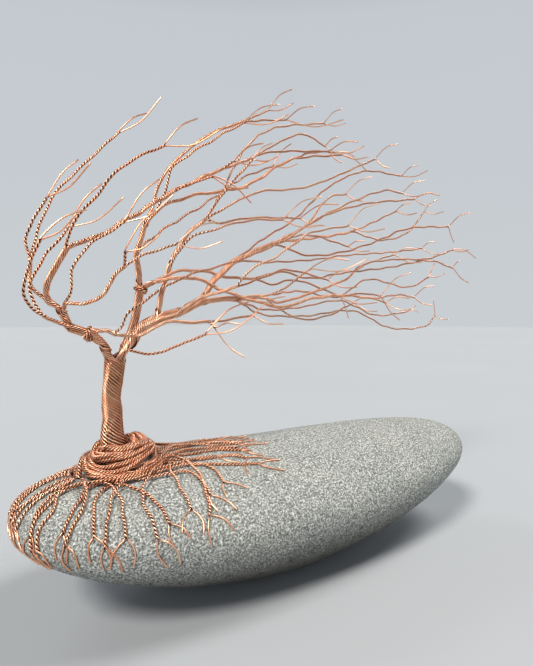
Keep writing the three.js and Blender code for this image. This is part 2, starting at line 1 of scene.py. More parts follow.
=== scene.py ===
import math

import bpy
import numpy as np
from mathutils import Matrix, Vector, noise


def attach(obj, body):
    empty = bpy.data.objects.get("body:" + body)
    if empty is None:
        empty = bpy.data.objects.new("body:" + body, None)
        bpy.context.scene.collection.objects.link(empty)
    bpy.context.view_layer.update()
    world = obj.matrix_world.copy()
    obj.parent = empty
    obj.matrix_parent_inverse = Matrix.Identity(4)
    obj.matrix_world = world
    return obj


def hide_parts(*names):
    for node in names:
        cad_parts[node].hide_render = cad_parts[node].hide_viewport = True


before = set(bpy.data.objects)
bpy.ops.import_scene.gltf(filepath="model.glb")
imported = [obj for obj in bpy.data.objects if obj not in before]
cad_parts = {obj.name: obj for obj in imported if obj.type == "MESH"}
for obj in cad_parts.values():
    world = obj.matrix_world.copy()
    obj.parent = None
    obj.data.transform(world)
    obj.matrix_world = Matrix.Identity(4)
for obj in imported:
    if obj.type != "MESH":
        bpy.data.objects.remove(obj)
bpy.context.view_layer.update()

# %% [markdown]
# # A windswept tree of twisted copper wire on a pebble
# The real thing is made from about a hundred lengths of one bare copper wire. They are twisted
# together into a trunk, shared out into limbs and ever thinner ropes, and end as twisted pairs
# whose two wires are splayed and snipped. Below the trunk the same wires are wound into a mound
# and run out over a smooth pebble as roots.
# So the model is made the way the maker works: it carries every single wire up from the trunk,
# and decides at each fork which wires leave. All lengths below are millimetres until a mesh is made.

MM = 0.001
WIRE = 0.5  # diameter of the bare wire
PAIR_LAY = 2.6  # length in which a crown pair makes one turn
ROOT_LAY = 2.25
SEED = 7
chance = np.random.default_rng(SEED)

STONE_LENGTH = 190
STONE_WIDTH = 72
STONE_WAIST = 26.6
FOOT = np.array([-64.0, 0.0])  # where the trunk stands on the pebble
ROOT_CENTRE = np.array([-64.0, 0.0, 24.0])  # roots run over the pebble round this point
ROOT_EDGE = 13.8  # radius at which the roots leave the mound

# %% [markdown]
# ## The camera
# A view from just above the pebble, a hand's width away on the tree's left. It comes first, so that
# every later step can be looked at from the same place.

# %% Camera
CAMERA_PLACE = np.array([-109.0, -163.0, 95.0])
CAMERA_TURN = (87.1, 0.0, -32.0)  # degrees


def make_camera():
    data = bpy.data.cameras.new("camera")
    data.lens = 27.73
    data.sensor_width = 36.0
    data.clip_start = 0.005
    camera = bpy.data.objects.new("camera", data)
    camera.location = Vector(CAMERA_PLACE * MM)
    camera.rotation_euler = [math.radians(a) for a in CAMERA_TURN]
    bpy.context.scene.collection.objects.link(camera)
    bpy.context.scene.camera = camera
    return camera


make_camera()
print("camera at", CAMERA_PLACE, "mm")

# %% [markdown]
# ## The routes of the branches
# Each rope of wires has a name, the rope and the point on it that it leaves, its own route, and,
# where it ends as one twisted pair, how far its two bare ends reach along and up. The places are
# given one by one, as a maker bends each branch by hand, so they stay a list.

# %% Branch routes
CROWN = [
    ("left", None, [(-64, 0, 78), (-67, -2, 82), (-71, -3, 86), (-78, -4, 89)]),
    ("mid", None, [(-63, 1, 78), (-59, 3, 84), (-56, 4, 91), (-54, 4, 101)]),
    ("right", None,
     [(-63, 0, 78), (-59, 0, 83), (-55, 1, 88), (-49, 2, 91), (-42, 2, 93), (-33, 3, 97)]),
    ("left_low", ("left", 3), [(-85, -7, 92)]),
    ("left_a", ("left_low", 0), [(-90, -10, 96), (-91, -12, 102), (-87, -13, 113)], [(12, 9), (10, 7)]),
    ("left_b", ("left_low", 0), [(-88, -5, 97), (-88, -3, 103), (-77, 1, 119)], [(10, 14), (17, 9)]),
    ("left_up", ("left", 3), [(-80, -4, 93), (-84, -4, 97)]),
    ("left_edge", ("left_up", 1), [(-88, -3, 101), (-88, -1, 109)]),
    ("left_c", ("left_edge", 1), [(-89, -1, 115), (-83, 0, 127)], [(9, 12), (13, 10)]),
    ("left_d", ("left_edge", 1),
     [(-86, 3, 115), (-80, 8, 129), (-69, 13, 142), (-56, 19, 156)], [(10, 8), (15, 12)]),
    ("left_inner", ("left_up", 1), [(-84, -5, 102), (-79, -7, 112)]),
    ("left_e", ("left_inner", 1),
     [(-78, -9, 118), (-72, -9, 126), (-63, -9, 137), (-49, -6, 146)], [(11, 10), (18, 5)]),
    ("left_long", ("left_inner", 1), [(-70, -4, 116), (-56, 0, 125), (-41, 5, 135), (-21, 9, 146)]),
    ("left_f", ("left_long", 3), [(-17, 7, 149)], [(12, 8), (13, 0)]),
    ("left_g", ("left_long", 2), [(-33, 4, 139), (-28, 3, 141)], [(15, -8), (13, -4)]),
    ("left_top", ("left_long", 3), [(-12, 11, 150), (-3, 13, 155)]),
    ("left_h", ("left_top", 1), [(8, 17, 162), (25, 21, 170), (39, 24, 168)], [(7, 5), (10, -3)]),
    ("left_i", ("left_top", 1), [(7, 14, 158), (35, 16, 163)], [(15, 6), (6, -5)]),
    ("left_stem", ("left_up", 0), [(-80, -8, 96)]),
    ("left_j", ("left_stem", 0),
     [(-79, -10, 99), (-78, -10, 106), (-75, -8, 111), (-62, -6, 121)], [(11, 14), (15, 8)]),
    ("left_k", ("left_stem", 0),
     [(-75, -10, 96), (-70, -11, 99), (-64, -11, 107), (-52, -9, 113), (-46, -8, 115)],
     [(14, 8), (15, 1)]),
    ("left_l", ("left_k", 2), [(-64, -13, 111)], [(9, 13), (10, 5)]),
    ("wrap", ("left", 1), [(-72, -6, 88), (-70, -7, 88), (-68, -6, 88), (-66, -6, 87)]),
    ("cross", ("wrap", 3),
     [(-63, -5, 89), (-61, -5, 93), (-57, -5, 96), (-48, -5, 102), (-39, -4, 106), (-22, -1, 111),
      (3, 2, 121), (20, 3, 131), (44, 4, 139), (77, 5, 145)], [(15, 3), (8, -3)]),
    ("low_a", ("wrap", 3),
     [(-58, -6, 86), (-54, -6, 88), (-49, -6, 90), (-34, -6, 90), (-16, -5, 92)], [(13, 7), (11, -3)]),
    ("low_b", ("low_a", 3), [(-32, -7, 88)], [(9, 1), (10, -10)]),
    ("low_c", ("right", 0),
     [(-62, -5, 82), (-55, -6, 80), (-47, -7, 82), (-36, -8, 86)], [(16, 11), (17, 7)]),
    ("mid_up", ("mid", 3), [(-55, 4, 112), (-52, 5, 122)]),
    ("mid_a", ("mid_up", 1),
     [(-47, 5, 128), (-35, 7, 134), (-11, 9, 141), (12, 13, 155), (43, 17, 163)], [(14, -6), (12, -1)]),
    ("mid_b", ("mid_a", 3), [(28, 18, 162), (46, 23, 166)], [(9, -1), (12, 3)]),
    ("mid_c", ("mid_up", 1), [(-47, 10, 131), (-43, 11, 141), (-23, 18, 160), (-5, 22, 170)]),
    ("mid_d", ("mid_c", 3), [(20, 27, 177)], [(14, 8), (25, 0)]),
    ("mid_e", ("mid_c", 3), [(13, 31, 181)], [(12, 11), (11, 3)]),
    ("mid_f", ("mid_up", 1),
     [(-45, 6, 132), (-42, 6, 142), (-26, 8, 155), (-11, 10, 165)], [(15, 9), (17, 3)]),
    ("mid_g", ("mid_up", 0),
     [(-43, 14, 122), (-24, 21, 134), (-2, 28, 149), (17, 33, 158)], [(9, 11), (11, 1)]),
    ("knot", ("mid", 3), [(-51, 1, 103)]),
    ("sweep_a", ("knot", 0), [(-42, 3, 107), (-33, 5, 108), (-18, 8, 106), (-7, 9, 106)]),
    ("sweep_b", ("sweep_a", 3),
     [(4, 8, 109), (20, 10, 107), (40, 13, 110), (72, 16, 114), (105, 19, 119), (124, 20, 116)],
     [(5, 4), (9, -8)]),
    ("sweep_c", ("sweep_a", 3), [(0, 8, 104), (12, 9, 106), (38, 12, 100)], [(5, -10), (17, -3)]),
    ("sweep_d", ("knot", 0),
     [(-37, 0, 105), (-25, 1, 101), (-14, 2, 98), (3, 3, 95), (15, 5, 98), (36, 8, 100), (58, 11, 99)]),
    ("sweep_e", ("sweep_d", 6), [(65, 11, 97)], [(14, 2), (13, -3)]),
    ("sweep_f", ("sweep_d", 6), [(79, 16, 101), (92, 18, 100)], [(13, 6), (9, -4)]),
    ("sweep_g", ("sweep_d", 5), [(48, 6, 101), (58, 7, 100)], [(17, 11), (9, -11)]),
    ("up", ("right", 3), [(-47, 3, 99), (-44, 3, 109), (-38, 4, 119), (-30, 5, 126)]),
    ("up_a", ("up", 3), [(-22, 9, 136), (-7, 15, 158), (8, 20, 169), (40, 26, 179)], [(10, 8), (10, 0)]),
    ("up_b", ("up", 3), [(-23, 4, 136), (-12, 2, 149)], [(8, 7), (9, 1)]),
    ("up_c", ("up", 3), [(-24, 2, 130), (-11, 1, 137), (12, 2, 142), (53, 6, 160)], [(12, 8), (6, -4)]),
    ("up_d", ("up", 3), [(-26, 3, 125), (-13, 4, 128), (14, 8, 131)], [(18, 7), (10, -3)]),
    ("up_e", ("up", 1), [(-38, 0, 118), (-29, -3, 122), (-16, -2, 126), (0, 0, 128)], [(17, 10), (15, -2)]),
    ("rise", ("right", 5), [(-25, 5, 106), (-17, 6, 112), (1, 8, 120)]),
    ("rise_a", ("rise", 2), [(17, 8, 128), (32, 9, 136), (62, 9, 148), (73, 9, 148)], [(13, 7), (12, 0)]),
    ("rise_b", ("rise_a", 0), [(32, 12, 142), (43, 14, 145)], [(14, 9), (8, -3)]),
    ("rise_c", ("rise", 1),
     [(-1, 13, 122), (18, 19, 132), (44, 27, 151), (71, 32, 163), (100, 35, 165)], [(11, 7), (14, 3)]),
    ("rise_d", ("rise", 2),
     [(14, 5, 116), (33, 6, 118), (54, 7, 124), (77, 9, 132), (110, 12, 136)], [(15, 8), (3, -8)]),
    ("rise_e", ("rise", 2), [(24, 16, 126), (50, 20, 123)], [(9, 3), (10, -2)]),
    ("rise_f", ("rise", 2), [(27, 19, 125), (56, 25, 131), (92, 31, 145)], [(10, 5), (11, -1)]),
    ("rise_g", ("rise_f", 1), [(80, 29, 129), (102, 32, 135), (118, 35, 148)], [(9, 7), (11, 0)]),
    ("rise_h", ("rise", 1),
     [(0, 13, 113), (30, 20, 116), (49, 23, 119), (92, 29, 124), (112, 31, 127)], [(10, 4), (11, -3)]),
    ("spread", ("right", 5), [(-20, 3, 98), (-8, 3, 99)]),
    ("spread_a", ("spread", 1), [(-1, 1, 101), (13, 0, 110)], [(18, 4), (23, 4)]),
    ("spread_b", ("spread", 1), [(3, 7, 97), (24, 9, 102), (40, 10, 107)]),
    ("spread_c", ("spread_b", 2), [(55, 16, 114), (80, 20, 121)], [(15, 3), (14, -4)]),
    ("spread_d", ("spread_b", 2),
     [(52, 13, 114), (76, 16, 118), (103, 19, 120), (125, 21, 126)], [(17, -4), (9, 0)]),
    ("spread_e", ("right", 4), [(-35, -3, 98), (-23, -5, 102)]),
    ("spread_f", ("spread_e", 1), [(-13, -4, 105), (0, -2, 109), (22, 0, 106)], [(10, 4), (12, -3)]),
    ("spread_g", ("spread_e", 1),
     [(-19, -6, 107), (-6, -7, 114), (9, -6, 123), (27, -6, 127)], [(14, 10), (15, -1)]),
    ("loop_a", ("spread", 1), [(8, 13, 94), (18, 14, 90), (34, 16, 91), (52, 18, 97)], [(10, 2), (11, -4)]),
    ("loop_b", ("spread", 0),
     [(0, 13, 94), (23, 20, 95), (51, 26, 98), (76, 29, 91), (99, 32, 92)], [(11, 0), (7, 4)]),
    ("loop_c", ("spread", 0),
     [(2, 18, 92), (28, 24, 91), (62, 29, 93), (90, 32, 84), (121, 34, 85), (128, 35, 90)],
     [(-1, 9), (8, -2)]),
    ("loop_d", ("spread", 1),
     [(24, 21, 102), (51, 28, 100), (73, 32, 109), (107, 35, 106), (124, 36, 112)], [(4, 8), (9, 2)]),
]
ropes = {}
for name, leaves, route, *ends in CROWN:
    ropes[name] = {"leaves": leaves, "route": [np.array(p, float) for p in route],
                   "ends": ends[0] if ends else None}
print(len(ropes), "ropes,", sum(1 for r in ropes.values() if r["ends"]), "of them end as a pair")

# %% [markdown]
# ## Smooth lines and frames
# A hand-bent wire has no corners, so a route's few places are joined by a curve that passes through
# every one of them (a centripetal Catmull-Rom curve). To twist wires round it, each point also needs
# two directions across it that turn as little as possible on the way.

# %% Smooth lines
LINE_STEP = 0.4  # spacing of the points that a smooth line is stored with
FINE = 24  # points worked out from one knot to the next, before they are evened out


def unit(vector):
    return vector / max(np.linalg.norm(vector), 1e-9)


def smooth_line(knots, first=0):
    """Even points along a curve through the knots, from knot `first` on, and each knot's place on it."""
    p = [np.asarray(k, float) for k in knots]
    p = [2 * p[0] - p[1]] + p + [2 * p[-1] - p[-2]]
    share = np.linspace(0, 1, FINE, endpoint=False)[:, None]
    fine, marks = [], []
    for a, b, c, d in zip(p, p[1:], p[2:], p[3:]):
        d0, d1, d2 = [max(np.linalg.norm(v - u), 1e-6) ** 0.5 for u, v in ((a, b), (b, c), (c, d))]
        start = ((b - a) / d0 - (c - a) / (d0 + d1) + (c - b) / d1) * d1
        end = ((c - b) / d1 - (d - b) / (d1 + d2) + (d - c) / d2) * d1
        marks.append(len(share) * len(fine))
        fine.append(b + share * start + share**2 * (-3 * b + 3 * c - 2 * start - end)
                    + share**3 * (2 * b - 2 * c + start + end))
    fine = np.vstack(fine + [p[-2][None]])
    marks.append(len(fine) - 1)
    fine, marks = fine[marks[first]:], [m - marks[first] for m in marks[first:]]
    along = np.concatenate([[0], np.cumsum(np.linalg.norm(np.diff(fine, axis=0), axis=1))])
    count = max(3, int(along[-1] / LINE_STEP) + 1)
    even = np.linspace(0, along[-1], count)
    line = np.stack([np.interp(even, along, fine[:, k]) for k in range(3)], axis=1)
    return line, [along[m] for m in marks]


def line_frames(line, across=None):
    """Tangents, and two directions across the line that turn as little as possible."""
    tangents = np.gradient(line, axis=0)
    tangents /= np.linalg.norm(tangents, axis=1)[:, None]
    if across is None:
        across = np.cross(tangents[0], (0.31, 0.17, 0.93))
    first = []
    for t in tangents:
        across = unit(across - t * np.dot(across, t))
        first.append(across)
    first = np.array(first)
    return tangents, first, np.cross(tangents, first)


def at(values, along, place):
    """Values stored along a line, read at any places along it."""
    return np.stack([np.interp(place, along, values[:, k]) for k in range(values.shape[1])], axis=-1)


print("points on a straight 10 mm:", len(smooth_line([(0, 0, 0), (10, 0, 0)])[0]))

# %% [markdown]
# ## How round wires sit in a rope
# Two wires lie side by side, three in a triangle, and a thick bundle in rings with the outermost one
# full. A slanting wire takes more room round the rope than a straight one, so fewer fit in a ring.
# Only the rings near the surface are laid out: a thick bundle's other wires run hidden in its core.

# %% Wire places in a rope
RING_GAP = 1.9  # from ring to ring, in wire radii, because rings nest a little
RING_TURN = 0.37  # each ring is turned against the last, in radians for each wire laid so far
THIN = 7  # up to this many wires, their slant is left out of the count
CORE = 0.3  # radius of the hidden core, as a share of the rope's
# how a bundle changes with its number of wires
LAY_SLOPE = ([2, 8, 24, 98], [2 * math.pi * WIRE / 2 / PAIR_LAY, 0.62, 0.75, 1.12])
SHOWN = ([4, 8, 24, 98], [1.0, 0.8, 0.8, 0.5])  # share of the wires that lie in rings
OPEN = ([8, 24, 98], [1.0, 1.15, 1.35])  # spacing in a ring: wound by hand, a thick rope lies open


def lay_slope(count):
    """How steeply the outer wires cross the rope: steeper as the bundle gets thick."""
    return np.interp(count, *LAY_SLOPE)


def wires_in_ring(ring, outer, slope, spacing):
    """How many slanting wires fit side by side in one ring of a rope."""
    r = WIRE / 2
    if ring < r:
        return 1
    straight = math.pi / math.asin(min(1, r / ring))
    return max(1, int(straight / math.hypot(1, slope * ring / outer) / spacing + 1e-6))


def rope_places(count):
    """Where `count` wires lie in a rope's section, and the radius of the outermost ring."""
    r = WIRE / 2
    if count == 1:
        return np.zeros((1, 2)), 0.0
    slope = lay_slope(count) if count > THIN else 0.0
    spacing = np.interp(count, *OPEN)
    shown = round(count * np.interp(count, *SHOWN))
    outer = r
    while True:
        places, left, ring = [], shown, outer
        while left > 0 and ring > 0.2 * r:
            take = min(left, wires_in_ring(ring, outer, slope, spacing))
            angles = RING_TURN * len(places) + 2 * math.pi * np.arange(take) / take
            radius = 0.0 if take == 1 else ring
            places += [(radius * math.cos(a), radius * math.sin(a)) for a in angles]
            left -= take
            ring -= RING_GAP * r
        if left == 0:
            core = 2 * math.pi * np.arange(count - shown) / max(count - shown, 1)
            places += [(CORE * outer * math.cos(a), CORE * outer * math.sin(a)) for a in core]
            return np.array(places), outer
        outer += 0.02 * r


for count in (2, 4, 8, 24, 98):
    print(count, "wires: rope", round(2 * rope_places(count)[1] + WIRE, 2), "mm thick")

# %% [markdown]
# ## Sharing the wires out
# This is the heart of the model. A rope carries its wires up to a place where branches leave it.
# There each branch takes the wires that already lie on its own side, as a maker would pick them, and
# the rest close up into a thinner rope. Every wire is one unbroken line from the trunk's foot to its
# snipped end, always turning left-handed round the rope that it is in.

# %% Sharing out wires
PLACE_TURNS = 24  # turned positions that are tried for a rope's section
wires = []  # each finished wire: its points, the way outwards at each, its tone and its piece


def pairs_in(rope):
    """Twisted pairs that a rope and all its branches end in."""
    own = 1 if rope["ends"] else 0
    return own + sum(pairs_in(child) for child in rope["branches"])


def in_section(bundle, middle, across, over):
    """Where the wires of a bundle now lie in the section of their rope."""
    return np.array([[np.dot(w["points"][-1] - middle, across), np.dot(w["points"][-1] - middle, over)]
                     for w in bundle])


def best_places(now, count):
    """The section's places, turned and dealt out so that each wire moves as little as possible."""
    places, _ = rope_places(count)
    best = None
    for turn in np.linspace(0, 2 * math.pi, PLACE_TURNS, endpoint=False):
        c, s = math.cos(turn), math.sin(turn)
        turned = places @ np.array([[c, s], [-s, c]])
        gap = np.linalg.norm(now[:, None] - turned[None], axis=2)
        if best is None or gap.min(axis=1).sum() < best[0]:
            best = (gap.min(axis=1).sum(), turned, gap)
    _, turned, gap = best
    dealt = np.zeros_like(turned)
    gap = gap.copy()
    for _ in range(count):
        wire, place = np.unravel_index(np.argmin(gap), gap.shape)
        dealt[wire] = turned[place]
        gap[wire, :] = np.inf
        gap[:, place] = np.inf
    return dealt


print("places of 4 wires in a rope:", rope_places(4)[0].round(2).tolist())

# %% [markdown]
# ## Carrying the wires along
# Between two forks the bundle only twists. Just after a fork its wires slide to their new places, and
# they need length for it: too short a stretch would look pinched. With each point goes the way
# outwards from the rope, which the copper reads to paint shade between wires, where one wire hides another
# from the light.

# %% Carrying wires
POINTS_PER_TURN = 9
SHORTEST = 0.05  # a stretch shorter than this is left out
SETTLE = 3.8  # length over which wires close up after a fork, for each mm that they must move
THICK = 20  # a bundle of this many wires hardly twists just above a fork
SLOW = 0.25  # how fast it twists there
SWAY = 0.1  # how much a hand-made lay tightens and slackens
# painted shade: this weights the dark copper painted into the groove beside a paired wire
PAIR_GROOVE = 0.93  # how much the groove beside a paired wire counts, against 1 in a thick rope
AHEAD = 12  # points along a branch that tell which way it heads


def start_among(rope, leaving):
    """Move the start of a branch's line to the middle of its wires, so that they flow on unpinched."""
    shift = np.mean([w["points"][-1] for w in leaving], axis=0) - rope["line"][0]
    reach = 2 + 6 * np.linalg.norm(shift)
    fade = np.clip(1 - rope["along"] / min(reach, max(rope["along"][-1], 0.1)), 0, 1)
    rope["line"] = rope["line"] + shift * (fade * fade * (3 - 2 * fade))[:, None]


def lay_stretch(rope, bundle, here, stop, girth):
    """Lay a bundle along one stretch of a rope."""
    count = len(bundle)
    ways = [rope[key] for key in ("line", "across", "over")]
    now = in_section(bundle, *[at(way, rope["along"], here) for way in ways])
    dealt = best_places(now, count)
    outer = rope_places(count)[1]
    lay = rope["lay"] if count == 2 else 2 * math.pi * max(outer, WIRE / 2) / lay_slope(count)
    length = stop - here
    if length <= SHORTEST:
        return
    steps = max(2, int(length / min(lay / POINTS_PER_TURN, 1.0)) + 1)
    place = np.linspace(here, stop, steps + 1)[1:]
    move = np.linalg.norm(dealt - now, axis=1).max()
    settle = min(length, max(1.0 + 4.5 * outer, SETTLE * move))
    share = np.clip((place - here) / settle, 0, 1)
    share = share * share * (3 - 2 * share)
    speed = 1 + SWAY * np.sin(place * rope["sway"][0] + rope["sway"][1])
    speed = speed * (1 if count < THICK or here > 0 else SLOW + (1 - SLOW) * share)
    turn = -2 * math.pi * np.cumsum(np.diff(np.concatenate([[here], place])) * speed) / lay
    centre, a, o = [at(way, rope["along"], place) for way in ways]
    pull = PAIR_GROOVE if count == 2 else 1.0
    for wire, start, end in zip(bundle, now, dealt):
        flat = start + (end - start) * share[:, None]
        x = flat[:, 0] * np.cos(turn) - flat[:, 1] * np.sin(turn)
        y = flat[:, 0] * np.sin(turn) + flat[:, 1] * np.cos(turn)
        wide = 1.0 if girth is None else girth(centre, outer, np.arctan2(y, x))
        x, y = x * wide, y * wide
        aside = x[:, None] * a + y[:, None] * o
        wire["points"].extend(centre + aside)
        wire["outward"].extend(pull * aside / (np.linalg.norm(aside, axis=1)[:, None] + 0.02))


def carry(rope, bundle, girth=None):
    """Lay a bundle of wires along a rope and on into its branches."""
    here = 0.0
    for stop in sorted({child["leaves_at"] for child in rope["branches"]} | {rope["along"][-1]}):
        lay_stretch(rope, bundle, here, stop, girth)
        middle, across, over = [at(rope[key], rope["along"], stop) for key in ("line", "across", "over")]
        for child in [c for c in rope["branches"] if c["leaves_at"] == stop]:
            ahead = child["line"][min(len(child["line"]) - 1, AHEAD)] - child["line"][0]
            way = unit(np.array([np.dot(ahead, across), np.dot(ahead, over)]))
            side = [np.dot(place, way) for place in in_section(bundle, middle, across, over)]
            order = np.argsort(side)[::-1][:2 * pairs_in(child)]
            leaving = [bundle[i] for i in order]
            bundle = [w for i, w in enumerate(bundle) if i not in set(order.tolist())]
            start_among(child, leaving)
            carry(child, leaving)
        here = stop
    if rope["ends"]:
        for wire, end in zip(bundle, rope["end_lines"](bundle)):
            wire["points"].extend(end)
            wire["outward"].extend(np.zeros((len(end), 3)))
            wire["group"] = rope["group"]
            wires.append(wire)


print("wires settle over", SETTLE, "mm for each mm that they move at a fork")

# %% [markdown]
# ## The crown's lines
# A branch starts on its parent's line and heads along it before it bends away, so that the two part
# without a kink. A hand-bent strand also wavers by a few tenths of a millimetre.

# %% Crown lines
END_BEARING = math.radians(-20)  # bare ends turn a little out of the crown's plane
END_SPREAD = math.radians(12)
END_BOW = 0.12
WAVER = 0.2
WAVER_LENGTH = 13.0
WAVER_FADE = 8.0  # length over which the wavering fades in
LEAD_IN = 3.0  # length of its parent that a branch follows first


def waver(line, lead):
    """Small sideways wandering that fades in after a strand has left its parent."""
    length = np.linspace(0, 1, len(line)) * LINE_STEP * len(line)
    fade = np.clip(length / lead, 0, 1)[:, None]
    total = np.zeros_like(line)
    for k, size in ((1.0, 1.0), (2.3, 0.18)):
        for axis in range(3):
            phase = chance.uniform(0, 2 * math.pi)
            total[:, axis] += size * np.sin(2 * math.pi * k * length / WAVER_LENGTH + phase)
    return line + WAVER * total * fade * np.clip((length[-1] - length) / lead, 0, 1)[:, None]


def bare_end(start, before, middle, end):
    """A bare wire from the end of its pair to its snipped tip."""
    line, _ = smooth_line([before, start, middle, end], first=1)
    keep = np.linspace(0, len(line) - 1, max(4, len(line) // 3)).astype(int)[1:]
    return line[keep]


def crown_ends(rope):
    """What splays a crown pair's two wires apart: the upper one up, the other down."""
    def lines(bundle):
        result = []
        top = rope["line"][-1]
        upper = int(np.argmax([w["points"][-1][2] for w in bundle]))
        for i, wire in enumerate(bundle):
            side = 1 if i == upper else -1
            reach, rise = rope["ends"][0 if i == upper else 1]
            bearing = END_BEARING + side * END_SPREAD
            end = top + np.array([reach * math.cos(bearing), reach * math.sin(bearing), rise])
            start = wire["points"][-1]
            middle = start + 0.5 * (end - start)
            middle[2] += side * END_BOW * np.linalg.norm(end - start)
            result.append(bare_end(start, start - rope["tangent"][-1], middle, end))
        return result
    return lines


def finish_rope(rope, line, leaves_at, across=None, lay=PAIR_LAY):
    """Give a rope its line, the two directions across it, and how evenly it is twisted."""
    tangent, first, second = line_frames(line, across)
    along = np.concatenate([[0], np.cumsum(np.linalg.norm(np.diff(line, axis=0), axis=1))])
    rope.update(line=line, tangent=tangent, across=first, over=second, along=along, branches=[],
                leaves_at=leaves_at, lay=lay, sway=(chance.uniform(0.25, 0.5), chance.uniform(0, 6.28)))
    return rope


LIMB_GROUPS = {"left": "left", "mid": "middle", "right": "right"}
LOW_LIMBS = ("spread", "spread_e", "low_c")  # drawn as a piece of their own
trunk_knots = [(-64, 0, 43.5), (-65, 0, 55), (-64.8, 0.2, 60), (-65, 0.6, 66), (-64.4, 0.3, 72),
               (-63.8, 0, 78)]
trunk_line, _ = smooth_line(trunk_knots)
trunk = finish_rope({"ends": None}, trunk_line, None)


def grow(name, rope):
    """Draw a rope's line from the place where it leaves its parent."""
    limb = rope["leaves"] is None
    if limb:
        parent, leaves_at = trunk, trunk["along"][-1]
        before = [trunk_line[-6]]
    else:
        parent, place = ropes[rope["leaves"][0]], rope["leaves"][1]
        at_tip = place == len(parent["route"]) - 1
        leaves_at = parent["along"][-1] if at_tip else min(parent["knots"][place], parent["along"][-1])
        before = [at(parent["line"], parent["along"], spot)
                  for spot in (max(0.0, leaves_at - LEAD_IN), leaves_at)]
    line, marks = smooth_line(before + rope["route"], first=1)
    across = at(parent["across"], parent["along"], leaves_at)
    finish_rope(rope, line if limb else waver(line, WAVER_FADE), leaves_at, across)
    whole = rope["along"][-1]
    rope["knots"] = [min(k * whole / marks[-1], whole) for k in marks[-len(rope["route"]):]]
    rope["group"] = LIMB_GROUPS[name] if limb else "low" if name in LOW_LIMBS else parent["group"]
    parent["branches"].append(rope)
    if rope["ends"]:
        rope["end_lines"] = crown_ends(rope)


for name, rope in ropes.items():
    grow(name, rope)

crown_pairs = pairs_in(trunk)
print("pairs in the trunk:", crown_pairs, " in each limb:",
      {n: pairs_in(ropes[n]) for n in LIMB_GROUPS})

# %% [markdown]
# ## The trunk
# The whole bundle is wound hard, so its outer wires cross it at about half a right angle. It is
# widest where it opens into the mound, and has a slight swelling halfway up.

# %% Trunk and crown wires
# height and radius
TRUNK_GIRTH = [(44, 6.0), (48, 5.3), (51, 4.5), (53, 4.0), (56, 3.5), (60, 3.0), (63, 3.25), (66, 3.0),
               (71, 3.3), (77, 3.35), (82, 3.2)]
TRUNK_LOBES = 0.05  # the bundle is a little oval, and the oval turns with the lay
LOBE_LAY = 22.0


def trunk_girth(centre, outer, angle):
    """How much the trunk's bundle is widened at its points."""
    heights, radii = zip(*TRUNK_GIRTH)
    lobes = 1 + TRUNK_LOBES * np.cos(2 * angle + 2 * math.pi * centre[:, 2] / LOBE_LAY)
    return (np.interp(centre[:, 2], heights, radii) - WIRE / 2) / outer * lobes


def start_bundle(rope, count):
    """Wires that begin in a neat bundle across the start of a rope."""
    places, _ = rope_places(count)
    a, o = rope["across"][0], rope["over"][0]
    return [{"points": [rope["line"][0] + x * a + y * o], "outward": [np.zeros(3)],
             "tone": float(chance.uniform(0, 1))} for x, y in places]


carry(trunk, start_bundle(trunk, 2 * crown_pairs), trunk_girth)
total = sum(np.linalg.norm(np.diff(np.array(w["points"]), axis=0), axis=1).sum() for w in wires)
print(len(wires), "crown wires,", round(total / 1000, 1), "m in all")

# %% [markdown]
# ## The pebble's shape
# A water-worn stone is close to a rounded box that tapers: its plan, its back and its belly are each
# a superellipse, fuller or leaner by one power. One function gives the shape, because the stone's
# mesh and the roots that lie on it must agree.

# %% Pebble shape
PLAN_POWER, BACK_POWER, BELLY_POWER = 2.45, 2.55, 1.6
TAPER = 0.14  # how much wider the tree's end is than the far end
SHOULDER = 0.05  # how much fuller the tree's end is in height
BACK_HEIGHT, BELLY_DEPTH = 18.5, 27.5  # above and below the waist
WAIST_SLOPE, END_RISE = 0.012, 4.5  # how the waist leans, and how far it lifts at both ends
HALVINGS = 36  # steps that find the pebble's surface


def super_edge(t, power):
    """Half height of a superellipse of half width 1."""
    return np.maximum(0, 1 - np.abs(t) ** power) ** (1 / power)


def pebble_section(t):
    """Half width, waist height, and reach above and below the waist, at t from -1 to 1 along X."""
    half = STONE_WIDTH / 2 * super_edge(t, PLAN_POWER) * (1 - TAPER * t)
    waist = STONE_WAIST + WAIST_SLOPE * t * STONE_LENGTH / 2 + END_RISE * t * t
    above = BACK_HEIGHT * super_edge(t, BACK_POWER) * (1 - SHOULDER * t)
    below = BELLY_DEPTH * super_edge(t, BELLY_POWER) * (1 - SHOULDER * t)
    return half, waist, above, below


def pebble_depth(p):
    """Under 1 inside the pebble, 1 on its surface."""
    t = np.clip(p[..., 0] / (STONE_LENGTH / 2), -0.9999, 0.9999)
    half, waist, above, below = pebble_section(t)
    reach = np.where(p[..., 2] > waist, above, below)
    past_end = 1e3 * (np.abs(p[..., 0]) >= STONE_LENGTH / 2)
    return (p[..., 1] / half) ** 2 + ((p[..., 2] - waist) / reach) ** 2 + past_end


def pebble_normal(p):
    """The way straight out of the pebble."""
    step = 0.05
    slope = [pebble_depth(p + step * axis) - pebble_depth(p - step * axis) for axis in np.eye(3)]
    slope = np.stack(slope, axis=-1)
    return slope / np.linalg.norm(slope, axis=-1)[..., None]


